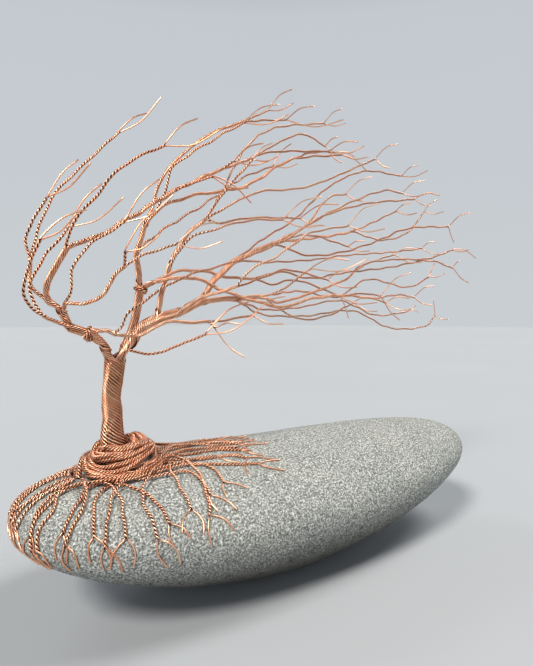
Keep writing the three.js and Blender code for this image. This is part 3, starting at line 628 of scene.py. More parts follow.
def on_pebble(bearings):
    """Points over the pebble for rows of (round, up) in degrees about ROOT_CENTRE, and lift in mm."""
    bearings = np.asarray(bearings, float)
    a, e = np.radians(bearings[:, 0]), np.radians(bearings[:, 1])
    way = np.stack([np.cos(a) * np.cos(e), np.sin(a) * np.cos(e), np.sin(e)], axis=1)
    near, far = np.zeros(len(way)), np.full(len(way), float(STONE_LENGTH))
    for _ in range(HALVINGS):
        middle = (near + far) / 2
        inside = pebble_depth(ROOT_CENTRE + way * middle[:, None]) < 1
        near, far = np.where(inside, middle, near), np.where(inside, far, middle)
    surface = ROOT_CENTRE + way * near[:, None]
    return surface + pebble_normal(surface - way * 0.2) * bearings[:, 2:3]


def pebble_top(x, y):
    """Height of the pebble's upper side."""
    half, waist, above, _ = pebble_section(np.asarray(x) / (STONE_LENGTH / 2))
    return waist + above * np.sqrt(np.maximum(0, 1 - (y / half) ** 2))


print("pebble top under the trunk:", round(float(pebble_top(*FOOT)), 1), "mm")

# %% [markdown]
# ## The roots
# Four ropes swirl out of the mound, all the same way round, and give off their roots one after
# another. Other roots lie loose over the mound's foot and cross each other. A root is a twisted pair
# that runs down the pebble and opens like a wishbone. Its places are bearings round a point inside
# the stone, because on a rounded stone those always land on it.

# %% Root routes
# each root: the bearing where it leaves its rope, its places as (round, up), and its two bare ends
ROOTS = {
    "left": [
        (140, [(148, 37), (157, 25), (166, 19)], [(178, 17), (170, 10)]),
        (147, [(155, 34), (163, 27), (173, 18)], [(-176, 12), (179, 8)]),
        (154, [(160, 34), (170, 24), (-177, 17)], [(-159, 11), (-170, 8)]),
        (161, [(166, 35), (177, 24), (-176, 17)], [(-164, 8), (-172, 5)]),
        (177, [(-179, 37), (-174, 29), (-171, 18)], [(-158, 8), (-165, 4)]),
        (-174, [(-172, 38), (-167, 28), (-165, 16)], [(-155, 7), (-150, 2)]),
        (-168, [(-170, 40), (-172, 32), (-178, 22)], [(178, 14), (-172, 11)]),
    ],
    "along": [
        (-30, [(-29, 38), (-27, 29), (-24, 22)], [(-26, 17), (-20, 19)]),
        (-22, [(-20, 37), (-18, 29), (-19, 25)], [(-20, 20), (-33, 22)]),
        (-14, [(-9, 38), (-8, 32), (-11, 26)], [(-17, 22), (-4, 23)]),
        (-4, [(0, 38), (0, 31), (-2, 26)], [(-6, 21), (5, 22)]),
        (6, [(12, 36), (8, 30), (-2, 25)], [(-10, 25), (2, 22)]),
        (16, [(20, 36), (17, 28), (14, 24)], [(20, 20), (9, 21)]),
    ],
    "far": [
        (30, [(29, 38), (25, 30), (23, 24)], [(17, 20), (27, 18)]),
        (40, [(38, 38), (35, 28), (31, 22)], [(24, 17), (32, 14)]),
        (50, [(50, 36), (46, 26), (42, 18)], [(35, 12), (43, 9)]),
        (60, [(62, 36), (58, 24), (55, 15)], [(49, 7), (57, 5)]),
        (70, [(72, 36), (69, 22), (67, 12)], [(60, 4), (69, 2)]),
    ],
    "behind": [
        (82, [(83, 34), (82, 22), (80, 12)], [(73, 2), (82, 1)]),
        (92, [(93, 34), (92, 22), (92, 13)], [(87, 4), (95, 2)]),
        (103, [(104, 34), (103, 22), (103, 12)], [(98, 2), (107, 1)]),
        (114, [(116, 36), (116, 24), (115, 14)], [(109, 5), (118, 3)]),
        (125, [(130, 36), (133, 24), (136, 14)], [(135, 5), (145, 4)]),
    ],
}
# roots that come over the mound's foot on their own: places, bare ends, and lift over the foot in mm
LOOSE_ROOTS = [
    ([(-150, 54), (-156, 42), (-156, 31), (-153, 21), (-149, 11)], [(-148, 4), (-142, 1)], 0.9),
    ([(-176, 52), (-160, 41), (-149, 31), (-148, 19), (-145, 11)], [(-140, 3), (-145, 0)], 1.5),
    ([(-126, 58), (-136, 47), (-135, 36), (-134, 20)], [(-135, 8), (-130, 7)], 0.8),
    ([(-162, 57), (-143, 51), (-131, 40), (-129, 27), (-131, 15)], [(-129, 2), (-124, 4)], 1.7),
    ([(-106, 57), (-122, 44), (-120, 31), (-117, 19)], [(-118, 7), (-108, 7)], 0.8),
    ([(-86, 58), (-99, 50), (-109, 40), (-111, 28), (-111, 14)], [(-112, 3), (-103, 1)], 1.6),
    ([(-132, 57), (-112, 50), (-102, 38), (-102, 27), (-101, 17)], [(-109, 3), (-98, 3)], 1.1),
    ([(-28, 58), (-60, 52), (-80, 44), (-87, 34), (-87, 23), (-86, 14)], [(-82, 0), (-77, 1)], 2.0),
    ([(-114, 57), (-93, 47), (-83, 38), (-79, 29), (-79, 19)], [(-79, 8), (-72, 11)], 0.9),
    ([(-16, 54), (-46, 46), (-59, 35), (-66, 22)], [(-75, 14), (-67, 11)], 1.2),
    ([(-80, 54), (-54, 45), (-41, 38), (-53, 26), (-61, 17)], [(-65, 6), (-56, 9)], 1.0),
    ([(-4, 52), (-26, 43), (-43, 33), (-53, 24)], [(-57, 17), (-51, 15)], 1.5),
    ([(-60, 54), (-38, 45), (-29, 36), (-42, 25)], [(-49, 20), (-40, 19)], 0.8),
    ([(10, 54), (-25, 53), (-60, 53), (-95, 54), (-128, 52), (-152, 46), (-161, 36), (-157, 26),
      (-152, 17)], [(-148, 9), (-156, 8)], 1.7),
    ([(-168, 62), (-130, 55), (-97, 55), (-67, 55), (-37, 53), (-14, 47), (-4, 40), (-4, 32), (-7, 27)],
     [(-12, 24), (-3, 24)], 2.6),
    ([(-140, 62), (-107, 54), (-77, 53), (-47, 51), (-30, 44), (-20, 38), (-17, 32)],
     [(-24, 26), (-15, 26)], 1.0),
    ([(-60, 58), (-25, 55), (0, 48), (10, 38), (9, 30), (4, 26)], [(-1, 22), (8, 22)], 3.4),
    ([(150, 60), (110, 58), (70, 54), (42, 46), (26, 36), (18, 29)], [(12, 25), (21, 24)], 3.6),
    ([(-40, 60), (0, 58), (25, 50), (36, 40), (30, 30), (26, 25)], [(20, 21), (29, 20)], 3.2),
    ([(90, 58), (55, 54), (30, 47), (14, 38), (6, 32)], [(1, 27), (10, 27)], 3.0),
    ([(0, 60), (30, 56), (52, 48), (50, 36), (44, 27)], [(38, 20), (47, 18)], 3.4),
]
print(sum(len(roots) for roots in ROOTS.values()), "roots from ropes,", len(LOOSE_ROOTS), "loose roots")

# %% [markdown]
# ## Bare ends on the stone
# Where a pair opens, its two wires bow apart and then lie nearly side by side, flat on the stone. The
# wire that is already nearer to a tip goes to it, so that the two never cross at the fork.

# %% Lines over the pebble
WANDER = 0.5  # degrees that a root strays from side to side
WANDER_WAVES = (0.07, 0.16)  # how fast, in radians for each point of its line
FORK_LIFT, BARE_LIFT = 0.4, 0.27  # a pair's and a bare wire's middle over the stone
EARLY, EARLY_BOW = 0.18, 0.13  # a bare wire's first place, as shares of its reach: along, and aside
HALFWAY, FULL_BOW = 0.5, 0.17


def follow_on(angle, before):
    """The same bearing, turned by whole circles to follow on from the one before."""
    return angle + 360 * round((before - angle) / 360)


def even_line(points, step=LINE_STEP):
    """A line's points, moved to even spacing."""
    along = np.concatenate([[0], np.cumsum(np.linalg.norm(np.diff(points, axis=0), axis=1))])
    even = np.linspace(0, along[-1], max(3, int(along[-1] / step) + 1))
    return np.stack([np.interp(even, along, points[:, k]) for k in range(3)], axis=1)


def wander(dense, lead):
    """Let a root stray a little between its places, but not where it starts and forks."""
    place = np.arange(len(dense))
    fade = np.clip(place / lead, 0, 1) * np.clip((len(dense) - 1 - place) / lead, 0, 1)
    stray = sum(np.sin(place * wave + chance.uniform(0, 6.28)) for wave in WANDER_WAVES)
    dense[:, 0] += WANDER * fade * stray
    return dense


def root_ends(fork, before, tips):
    """What lays a root's two bare wires over the pebble."""
    def lines(bundle):
        ends = [np.array([follow_on(r, fork[0]), up]) for r, up in tips]
        start = np.array(fork[:2], float)
        aim = on_pebble([[*end, 0.3] for end in ends])
        first = [np.linalg.norm(w["points"][-1] - aim[0]) - np.linalg.norm(w["points"][-1] - aim[1])
                 for w in bundle]
        result = []
        for wire, mine in zip(bundle, [1, 0] if first[0] > first[1] else [0, 1]):
            end, twin = ends[mine], ends[1 - mine]
            way = end - start
            aside = np.linalg.norm(way) * unit(end - twin)
            rows = [[*before, FORK_LIFT], [*start, FORK_LIFT],
                    [*(start + EARLY * way + EARLY_BOW * aside), 0.3],
                    [*(start + HALFWAY * way + FULL_BOW * aside), BARE_LIFT], [*end, BARE_LIFT]]
            path = even_line(on_pebble(smooth_line(rows, first=1)[0]), 1.0)
            path[0] = wire["points"][-1]
            result.append(path[1:])
        return result
    return lines


print("bare ends lie", BARE_LIFT, "mm over the stone, a wire's radius and a hair")

# %% [markdown]
# ## Laying the roots
# A root rope winds out from under the trunk to the mound's edge, and sheds its pairs there. A loose
# root rides over what it crosses: it is lifted on the mound's foot and comes down to the stone.

# %% Root wires
SWIRL = 150  # degrees that a root rope winds through before its first root
ROPE_START = 5.0  # radius at which it comes out from under the trunk
ROPE_RISE = 2.0  # how much higher it lies there
ROPE_LIFT = 0.95  # its middle over the stone
PAIR_LIFT = 0.5
LOOSE_LIFT = 0.55
FOOT_UP = (33, 53)  # the foot of the mound lies between these bearings up from ROOT_CENTRE
UNDER_COILS = 2.6  # the most that a loose root is lifted further up, where the coils hide it


def root_rope(roots, group):
    """A rope that swirls out of the mound and gives off its roots one by one."""
    leaves = [roots[0][0]]
    for leave, *_ in roots[1:]:
        leaves.append(follow_on(leave, leaves[-1]))
    bearings = np.arange(leaves[0] - SWIRL, leaves[-1] + 0.5, 2.0)
    share = np.clip((bearings - bearings[0]) / (SWIRL - 12), 0, 1)
    wobble = 0.45 * np.sin(np.radians(bearings * 3 + 40 * len(roots)))
    radius = ROPE_START + (ROOT_EDGE - ROPE_START) * share ** 0.85 + wobble
    a = np.radians(bearings)
    x, y = FOOT[0] + radius * np.cos(a), FOOT[1] + radius * np.sin(a)
    height = ROPE_LIFT + ROPE_RISE * (1 - share) ** 1.3
    line = even_line(np.stack([x, y, pebble_top(x, y) + height], axis=1))
    rope = finish_rope({"ends": None}, line, None)
    turned = np.degrees(np.unwrap(np.arctan2(line[:, 1] - FOOT[1], line[:, 0] - FOOT[0])))
    turned = turned + 360 * round((bearings[0] - turned[0]) / 360)
    for number, ((_, places, tips), leave) in enumerate(zip(roots, leaves)):
        last = number == len(roots) - 1
        spot = rope["along"][-1] if last else float(np.interp(leave, turned, rope["along"]))
        start = at(line, rope["along"], spot)
        up = math.degrees(math.atan2(start[2] - ROOT_CENTRE[2], math.hypot(*(start - ROOT_CENTRE)[:2])))
        rows = [[leave - 9, up + 1, ROPE_LIFT], [leave, up, ROPE_LIFT]]
        for r, e in places:
            rows.append([follow_on(r, rows[-1][0]), e, PAIR_LIFT])
        dense = wander(smooth_line(rows, first=1)[0], 8)
        path = on_pebble(dense)
        path[0] = start
        child = {"group": group, "ends": tips}
        finish_rope(child, even_line(path), spot, at(rope["across"], rope["along"], spot), ROOT_LAY)
        child["end_lines"] = root_ends(rows[-1], dense[-6][:2], tips)
        rope["branches"].append(child)
    return rope


def loose_root(places, tips, lift):
    """A root that lies over the mound's foot, higher or lower than the others that it crosses."""
    rows = []
    for r, up in places:
        foot = np.clip((up - FOOT_UP[0]) / (FOOT_UP[1] - FOOT_UP[0]), 0, 1)
        most = UNDER_COILS if up > FOOT_UP[1] else math.inf
        rows.append([r, up, min(LOOSE_LIFT + lift * foot, most)])
    rows[0][2] = PAIR_LIFT
    dense = wander(smooth_line(rows)[0], 30)
    rope = finish_rope({"ends": tips, "group": "roots_front"}, even_line(on_pebble(dense)), None,
                       lay=ROOT_LAY)
    rope["end_lines"] = root_ends(rows[-1], dense[-6][:2], tips)
    return rope


crown_count = len(wires)
for places, tips, lift in LOOSE_ROOTS:
    rope = loose_root(places, tips, lift)
    carry(rope, start_bundle(rope, 2))
for sector, roots in ROOTS.items():
    rope = root_rope(roots, "roots_front" if sector == "left" else "roots_back")
    carry(rope, start_bundle(rope, 2 * len(roots)))
print(len(wires) - crown_count, "root wires")

# %% [markdown]
# ## From lines to wire
# A Geometry Nodes tree gives the lines their round section. It turns each chain of edges into a
# curve and sweeps a circle along it. The diameter and the number of sides are inputs, so the gauge
# can be changed for the whole tree at once. The girth attribute narrows the snipped ends. From the
# outward attribute the tree works out how deep between the wires each bit of surface lies, and
# stores that as the groove attribute, which the copper reads.

# %% Wire skin nodes
def add_node(tree, kind, links=None, **settings):
    """Add a node, set its properties, and fill or link its inputs by name or number."""
    node = tree.nodes.new(kind)
    for key, value in settings.items():
        setattr(node, key, value)
    for key, value in (links or {}).items():
        socket = node.inputs[key]
        if isinstance(value, bpy.types.NodeSocket):
            tree.links.new(value, socket)
        else:
            socket.default_value = value
    return node


def new_tree(name, inputs):
    """A geometry node group with a Geometry input and output and the given named inputs."""
    tree = bpy.data.node_groups.new(name, "GeometryNodeTree")
    tree.interface.new_socket("Geometry", in_out="INPUT", socket_type="NodeSocketGeometry")
    for label, kind, value in inputs:
        socket = tree.interface.new_socket(label, in_out="INPUT", socket_type=kind)
        if value is not None:
            socket.default_value = value
    tree.interface.new_socket("Geometry", in_out="OUTPUT", socket_type="NodeSocketGeometry")
    return tree, add_node(tree, "NodeGroupInput"), add_node(tree, "NodeGroupOutput")


def skin_nodes(tree, curve, diameter, sides, material, girth):
    """Sweep a circle along curves, close the ends and give them their metal."""
    radius = add_node(tree, "ShaderNodeMath", {0: diameter, 1: 0.5}, operation="MULTIPLY")
    ring = add_node(tree, "GeometryNodeCurvePrimitiveCircle",
                    {"Resolution": sides, "Radius": radius.outputs[0]})
    swept = add_node(tree, "GeometryNodeCurveToMesh",
                     {"Curve": curve, "Profile Curve": ring.outputs["Curve"], "Scale": girth,
                      "Fill Caps": True})
    outward = add_node(tree, "GeometryNodeInputNamedAttribute", {"Name": "outward"}, data_type="FLOAT_VECTOR")
    normal = add_node(tree, "GeometryNodeInputNormal")
    facing = add_node(tree, "ShaderNodeVectorMath",
                      {0: normal.outputs["Normal"], 1: outward.outputs["Attribute"]},
                      operation="DOT_PRODUCT")
    reach = add_node(tree, "ShaderNodeVectorMath", {0: outward.outputs["Attribute"]}, operation="LENGTH")
    depth = add_node(tree, "ShaderNodeMath", {0: reach.outputs["Value"], 1: facing.outputs["Value"]},
                     operation="SUBTRACT")
    grooved = add_node(tree, "GeometryNodeStoreNamedAttribute",
                       {"Geometry": swept.outputs["Mesh"], "Name": "groove", "Value": depth.outputs[0]},
                       data_type="FLOAT", domain="POINT")
    smooth = add_node(tree, "GeometryNodeSetShadeSmooth", {"Geometry": grooved.outputs["Geometry"]})
    real = add_node(tree, "GeometryNodeRealizeInstances", {"Geometry": smooth.outputs["Geometry"]})
    return add_node(tree, "GeometryNodeSetMaterial",
                    {"Geometry": real.outputs["Geometry"], "Material": material}).outputs["Geometry"]


def wire_skin_tree():
    tree, start, end = new_tree("wire skin", [("Wire diameter", "NodeSocketFloat", WIRE * MM),
                                              ("Sides", "NodeSocketInt", 6),
                                              ("Metal", "NodeSocketMaterial", None)])
    curve = add_node(tree, "GeometryNodeMeshToCurve", {"Mesh": start.outputs["Geometry"]})
    girth = add_node(tree, "GeometryNodeInputNamedAttribute", {"Name": "girth"}, data_type="FLOAT")
    skin = skin_nodes(tree, curve.outputs["Curve"], start.outputs["Wire diameter"], start.outputs["Sides"],
                      start.outputs["Metal"], girth.outputs["Attribute"])
    tree.links.new(skin, end.inputs["Geometry"])
    return tree


# %% [markdown]
# The mound's coils are ropes of several wires laid side by side, so a second tree does the twisting
# too: it copies the middle line once for each wire and moves each copy round it by its share of a
# turn plus its place along the lay.

# %% Twisted rope nodes
def twisted_rope_tree():
    tree, start, end = new_tree("twisted rope", [("Wires", "NodeSocketInt", 6),
                                                 ("Ring radius", "NodeSocketFloat", 0.45 * MM),
                                                 ("Lay length", "NodeSocketFloat", 3.6 * MM),
                                                 ("Ring spacing", "NodeSocketFloat", 0.4 * MM),
                                                 ("Wire diameter", "NodeSocketFloat", WIRE * MM),
                                                 ("Sides", "NodeSocketInt", 6),
                                                 ("Metal", "NodeSocketMaterial", None)])
    curve = add_node(tree, "GeometryNodeMeshToCurve", {"Mesh": start.outputs["Geometry"]})
    even = add_node(tree, "GeometryNodeResampleCurve",
                    {"Curve": curve.outputs["Curve"], "Length": start.outputs["Ring spacing"]}, mode="LENGTH")
    copies = add_node(tree, "GeometryNodeDuplicateElements",
                      {"Geometry": even.outputs["Curve"], "Amount": start.outputs["Wires"]}, domain="SPLINE")
    place = add_node(tree, "GeometryNodeSplineParameter")
    turns = add_node(tree, "ShaderNodeMath", {0: place.outputs["Length"], 1: start.outputs["Lay length"]},
                     operation="DIVIDE")
    share = add_node(tree, "ShaderNodeMath",
                     {0: copies.outputs["Duplicate Index"], 1: start.outputs["Wires"]}, operation="DIVIDE")
    left_hand = add_node(tree, "ShaderNodeMath", {0: share.outputs[0], 1: turns.outputs[0]},
                         operation="SUBTRACT")
    angle = add_node(tree, "ShaderNodeMath", {0: left_hand.outputs[0], 1: 2 * math.pi},
                     operation="MULTIPLY")
    normal = add_node(tree, "GeometryNodeInputNormal")
    tangent = add_node(tree, "GeometryNodeInputTangent")
    over = add_node(tree, "ShaderNodeVectorMath", {0: tangent.outputs[0], 1: normal.outputs["Normal"]},
                    operation="CROSS_PRODUCT")
    parts = []
    for wave, way in (("COSINE", normal.outputs["Normal"]), ("SINE", over.outputs["Vector"])):
        swing = add_node(tree, "ShaderNodeMath", {0: angle.outputs[0]}, operation=wave)
        size = add_node(tree, "ShaderNodeMath", {0: swing.outputs[0], 1: start.outputs["Ring radius"]},
                        operation="MULTIPLY")
        part = add_node(tree, "ShaderNodeVectorMath", {0: way}, operation="SCALE")
        tree.links.new(size.outputs[0], part.inputs["Scale"])
        parts.append(part.outputs["Vector"])
    offset = add_node(tree, "ShaderNodeVectorMath", {0: parts[0], 1: parts[1]}, operation="ADD")
    aside = add_node(tree, "ShaderNodeVectorMath", {0: offset.outputs["Vector"]}, operation="NORMALIZE")
    sided = add_node(tree, "GeometryNodeStoreNamedAttribute",
                     {"Geometry": copies.outputs["Geometry"], "Name": "outward",
                      "Value": aside.outputs["Vector"]}, data_type="FLOAT_VECTOR", domain="POINT")
    moved = add_node(tree, "GeometryNodeSetPosition",
                     {"Geometry": sided.outputs["Geometry"], "Offset": offset.outputs["Vector"]})
    tone = add_node(tree, "GeometryNodeStoreNamedAttribute",
                    {"Geometry": moved.outputs["Geometry"], "Name": "tone", "Value": share.outputs[0]},
                    data_type="FLOAT", domain="CURVE")
    skin = skin_nodes(tree, tone.outputs["Geometry"], start.outputs["Wire diameter"], start.outputs["Sides"],
                      start.outputs["Metal"], 1.0)
    tree.links.new(skin, end.inputs["Geometry"])
    return tree


SKIN = wire_skin_tree()
ROPE = twisted_rope_tree()
for tree in (SKIN, ROPE):
    print(tree.name, "has", len(tree.nodes), "nodes")

# %% [markdown]
# ## Running a node tree
# The lines go in as a mesh of bare edges, whose points carry attributes. What the tree makes of them
# is kept as a plain mesh, because a modifier would have to be worked out again by every reader.

# %% Running a tree
def chains_object(name, chains, **attributes):
    """A mesh of edge chains, in metres, with each attribute's value at every point."""
    points = np.vstack(chains) * MM
    sizes = [len(c) for c in chains]
    starts = np.concatenate([[0], np.cumsum(sizes)[:-1]])
    edges = np.vstack([np.stack([np.arange(s, s + n - 1), np.arange(s + 1, s + n)], axis=1)
                       for s, n in zip(starts, sizes)])
    mesh = bpy.data.meshes.new(name)
    mesh.from_pydata(points.tolist(), edges.tolist(), [])
    for label, values in attributes.items():
        values = np.concatenate(values)
        kind, key = ("FLOAT_VECTOR", "vector") if values.ndim == 2 else ("FLOAT", "value")
        mesh.attributes.new(label, kind, "POINT").data.foreach_set(key, values.ravel())
    thing = bpy.data.objects.new(name, mesh)
    bpy.context.scene.collection.objects.link(thing)
    return thing


def apply_tree(thing, tree, values):
    """Run a node tree on an object with named input values, and keep only the plain mesh."""
    modifier = thing.modifiers.new(tree.name, "NODES")
    modifier.node_group = tree
    for item in tree.interface.items_tree:
        if item.item_type == "SOCKET" and item.in_out == "INPUT" and item.name in values:
            modifier[item.identifier] = values[item.name]
    bpy.context.view_layer.update()
    graph = bpy.context.evaluated_depsgraph_get()
    plain = bpy.data.meshes.new_from_object(thing.evaluated_get(graph))
    thing.modifiers.remove(modifier)
    thing.data = plain
    plain.name = thing.name
    return thing


def triangles(thing):
    return sum(len(p.vertices) - 2 for p in thing.data.polygons)


def finish_piece(thing, nodes):
    """Attach the piece to what moves it, and hide the solids that it stands for."""
    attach(thing, "root")
    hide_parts(*nodes)
    print(thing.name, triangles(thing), "triangles, for", len(nodes), "solids")


# %% [markdown]
# ## Colours
# Colours are written as they look on a screen and turned into the linear values that light needs.

# %% Colour helpers
MIX_A, MIX_B, MIX_RESULT = 6, 7, 2  # the colour sockets of a Mix node


def colour(code):
    """A screen colour such as 'c9784f' as linear red, green, blue and alpha."""
    channels = [int(code[i:i + 2], 16) / 255 for i in (0, 2, 4)]
    return [c / 12.92 if c <= 0.04045 else ((c + 0.055) / 1.055) ** 2.4 for c in channels] + [1.0]


def new_material(name):
    """A material with only a Principled shader and its output."""
    material = bpy.data.materials.new(name)
    material.use_nodes = True
    tree = material.node_tree
    tree.nodes.clear()
    shader = add_node(tree, "ShaderNodeBsdfPrincipled")
    add_node(tree, "ShaderNodeOutputMaterial", {"Surface": shader.outputs[0]})
    return material, tree, shader


def ramp(tree, factor, *stops):
    """The colours that a factor runs through, from stops of (place, code) in rising order."""
    node = add_node(tree, "ShaderNodeValToRGB", {"Fac": factor})
    elements = node.color_ramp.elements
    elements[0].position, elements[1].position = stops[0][0], stops[-1][0]
    for place, _ in stops[1:-1]:
        elements.new(place)
    for element, (_, code) in zip(elements, stops):
        element.color = colour(code)
    return node.outputs["Color"]


print("mid grey 808080 is", round(colour("808080")[0], 3), "of full light")

# %% [markdown]
# ## Bare copper wire
# Soft craft wire is drawn copper with no lacquer: salmon-orange, and bright because drawing polishes
# it. Handling leaves it a little uneven, so each wire has its own tone, with faint redder and duller
# stretches a few millimetres long. Between the wires the copper is painted dark brown: painted shade
# for the grooves, where one wire hides another from the light. It is a metal, so its colour is in its
# reflections.

# %% Copper
def copper_wire():
    material, tree, shader = new_material("bare copper wire")
    place = add_node(tree, "ShaderNodeTexCoord").outputs["Object"]
    tone = add_node(tree, "ShaderNodeAttribute", attribute_name="tone")
    stretches = add_node(tree, "ShaderNodeTexNoise", {"Vector": place, "Scale": 220.0, "Detail": 2.0})
    mixed = add_node(tree, "ShaderNodeMath", {0: tone.outputs["Fac"], 1: stretches.outputs["Fac"]},
                     operation="ADD")
    halved = add_node(tree, "ShaderNodeMath", {0: mixed.outputs[0], 1: 0.5}, operation="MULTIPLY")
    bright = ramp(tree, halved.outputs[0], (0.2, "e09a76"), (0.5, "f0b491"), (0.8, "fbd0b2"))
    # painted shade: the copper is mixed towards dark brown where its surface lies deep between wires
    groove = add_node(tree, "ShaderNodeAttribute", attribute_name="groove")
    depth = add_node(tree, "ShaderNodeMapRange",
                     {"Value": groove.outputs["Fac"], "From Min": 0.35, "From Max": 0.95},
                     interpolation_type="SMOOTHSTEP")
    groove_shade = add_node(tree, "ShaderNodeMix",
                         {"Factor": depth.outputs[0], MIX_A: bright, MIX_B: colour("4a180a")},
                         data_type="RGBA")
    tree.links.new(groove_shade.outputs[MIX_RESULT], shader.inputs["Base Color"])
    marks = add_node(tree, "ShaderNodeTexNoise", {"Vector": place, "Scale": 900.0, "Detail": 3.0})
    rough = add_node(tree, "ShaderNodeMapRange",
                     {"Value": marks.outputs["Fac"], "To Min": 0.28, "To Max": 0.42})
    tree.links.new(rough.outputs[0], shader.inputs["Roughness"])
    grain = add_node(tree, "ShaderNodeTexNoise", {"Vector": place, "Scale": 5000.0, "Detail": 1.0})
    bump = add_node(tree, "ShaderNodeBump",
                    {"Height": grain.outputs["Fac"], "Distance": 0.00001, "Strength": 0.4})
    tree.links.new(bump.outputs["Normal"], shader.inputs["Normal"])
    shader.inputs["Metallic"].default_value = 1.0
    return material


COPPER = copper_wire()
print(COPPER.name, "has", len(COPPER.node_tree.nodes), "nodes")

# %% [markdown]
# ## The wire pieces
# A wire runs from the trunk through a limb to its tip, so the crown is shared out by limbs, and the
# largest limb is two pieces. Each piece stands for the solids whose names start with the words listed.

# %% Wire pieces
PIECES = {
    "left": ("left_limb_and_trunk_wires",
             ["trunk_and_limbs", "spray_left", "spray_cross", "spray_low_front"]),
    "middle": ("middle_limb_wires", ["spray_mid", "spray_sweep"]),
    "right": ("right_limb_wires", ["spray_up", "spray_rise"]),
    "low": ("lower_right_wires", ["spray_spread", "spray_near", "spray_loop", "spray_low_near"]),
    "roots_front": ("front_root_wires", ["roots_left", "roots_corner", "roots_front"]),
    "roots_back": ("back_root_wires", ["roots_near", "roots_along", "roots_far", "roots_behind"]),
}
SIDES = 6
SNIPPED = (1.0, 0.9, 0.55)  # girth of a wire's last three rings


def chain_of(wire):
    """A wire's points with two close rings added at its end, where the snip leaves it rounded."""
    points = np.array(wire["points"])
    far = points[-1]
    way = unit(far - points[-2])
    return np.vstack([points[:-1], far - 0.12 * way, far - 0.04 * way, far])


def wire_piece(group):
    name, stands_for = PIECES[group]
    chosen = [w for w in wires if w["group"] == group]
    chains = [chain_of(w) for w in chosen]
    thing = chains_object(name, chains,
                          girth=[np.concatenate([np.ones(len(c) - 3), SNIPPED]) for c in chains],
                          tone=[np.full(len(c), w["tone"]) for c, w in zip(chains, chosen)],
                          outward=[np.vstack([w["outward"][:-1], np.zeros((3, 3))]) for w in chosen])
    apply_tree(thing, SKIN, {"Wire diameter": WIRE * MM, "Sides": SIDES, "Metal": COPPER})
    finish_piece(thing, [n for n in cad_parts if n.startswith(tuple(stands_for))])


for group in PIECES:
    wire_piece(group)

# %% [markdown]
# ## The mound's coils
# Where the trunk meets the stone the maker winds thick ropes of the same wire round and round it,
# until they make a cone that hides where everything starts. Three ropes wind outwards side by side,
# and five more lie across them at a steeper pitch. None of them lies quite true, and their ends are
# tucked in. Two short collars of the same rope hold branches to the left and the middle limb.

# %% Mound coils
MOUND_TOP, MOUND_FOOT = 3.6, 13.0  # radii between which the cone slopes down
MOUND_RISE = 7.4
MOUND_LEAN = 3.4  # how much higher the cone is on its far right, where most of the ropes run off
LEAN_BEARING = 5
LEAN_FROM, LEAN_OVER = 4, 7  # radius at which the lean starts, and length over which it grows
TUCKED, TUCK_DEPTH = 0.06, 1.6  # share of a coil that goes down at its outer end, and how far
COILS = [
    # start bearing, turns, radius from and to, height above the cone, waviness
    (30, 2.1, 4.3, 12.2, 0.0, 0.35),
    (150, 2.1, 4.3, 12.5, 0.1, 0.4),
    (270, 2.1, 4.3, 12.0, 0.0, 0.35),
    (200, 0.9, 4.8, 11.0, 1.3, 0.8),
    (320, 0.8, 5.0, 11.4, 1.2, 0.7),
    (80, 0.9, 4.8, 11.6, 1.3, 0.8),
    (250, 0.6, 6.0, 12.4, 1.5, 0.8),
    (10, 0.5, 5.2, 11.8, 1.9, 0.9),
]
COLLARS = [
    # limb, first and last place along it, turns, radius
    ("left", 11.0, 14.0, 1.7, 1.8),
    ("mid", 24.0, 26.5, 1.4, 1.7),
]


def coil_line(start, turns, inner, outer, lift, wave):
    """The middle line of one rope wound round the mound."""
    share = np.linspace(0, 1, 260)
    a = np.radians(start + 360 * turns * share)
    radius = inner + (outer - inner) * share + wave * np.sin(2.7 * a + start)
    x, y = FOOT[0] + radius * np.cos(a), FOOT[1] + radius * np.sin(a)
    cone = MOUND_RISE * np.clip((MOUND_FOOT - radius) / (MOUND_FOOT - MOUND_TOP), 0, 1.1)
    far_right = np.clip(np.cos(a - math.radians(LEAN_BEARING)), 0, 1)
    lean = MOUND_LEAN * np.clip((radius - LEAN_FROM) / LEAN_OVER, 0, 1) * far_right
    tucked = np.clip((share - 1 + TUCKED) / TUCKED, 0, 1) + np.clip((0.04 - share) / 0.04, 0, 1)
    height = 1.0 - TUCK_DEPTH * tucked + cone + lean + lift * np.sin(math.pi * share) ** 0.5
    height = height + 0.7 * wave * np.sin(4.3 * a + 2 * start)
    return np.stack([x, y, pebble_top(x, y) + height], axis=1)


def collar_line(name, first, last, turns, radius):
    """A few turns of rope wound round a limb."""
    limb = ropes[name]
    share = np.linspace(0, 1, 60)
    place = first + (last - first) * share
    middle, a, o = [at(limb[k], limb["along"], place) for k in ("line", "across", "over")]
    angle = -2 * math.pi * turns * share
    return middle + radius * (np.cos(angle)[:, None] * a + np.sin(angle)[:, None] * o)


wound = [coil_line(*row) for row in COILS] + [collar_line(*row) for row in COLLARS]
coils = chains_object("mound_coils", wound)
apply_tree(coils, ROPE, {"Wires": 4, "Ring radius": 0.54 * MM, "Lay length": 4.1 * MM,
                         "Ring spacing": 0.38 * MM, "Wire diameter": WIRE * MM, "Sides": SIDES,
                         "Metal": COPPER})
finish_piece(coils, ["root_mound"])

# %% [markdown]
# ## The pebble
# Its surface is worn smooth but not polished. Fine pits stay in it, and they are deeper in a band
# along the lower edge, where the stone has been knocked. They are modelled; the grain, half a
# millimetre and finer, is left to the material.

# %% Pebble mesh
PEBBLE_RINGS = 300
PEBBLE_ROUND = 250


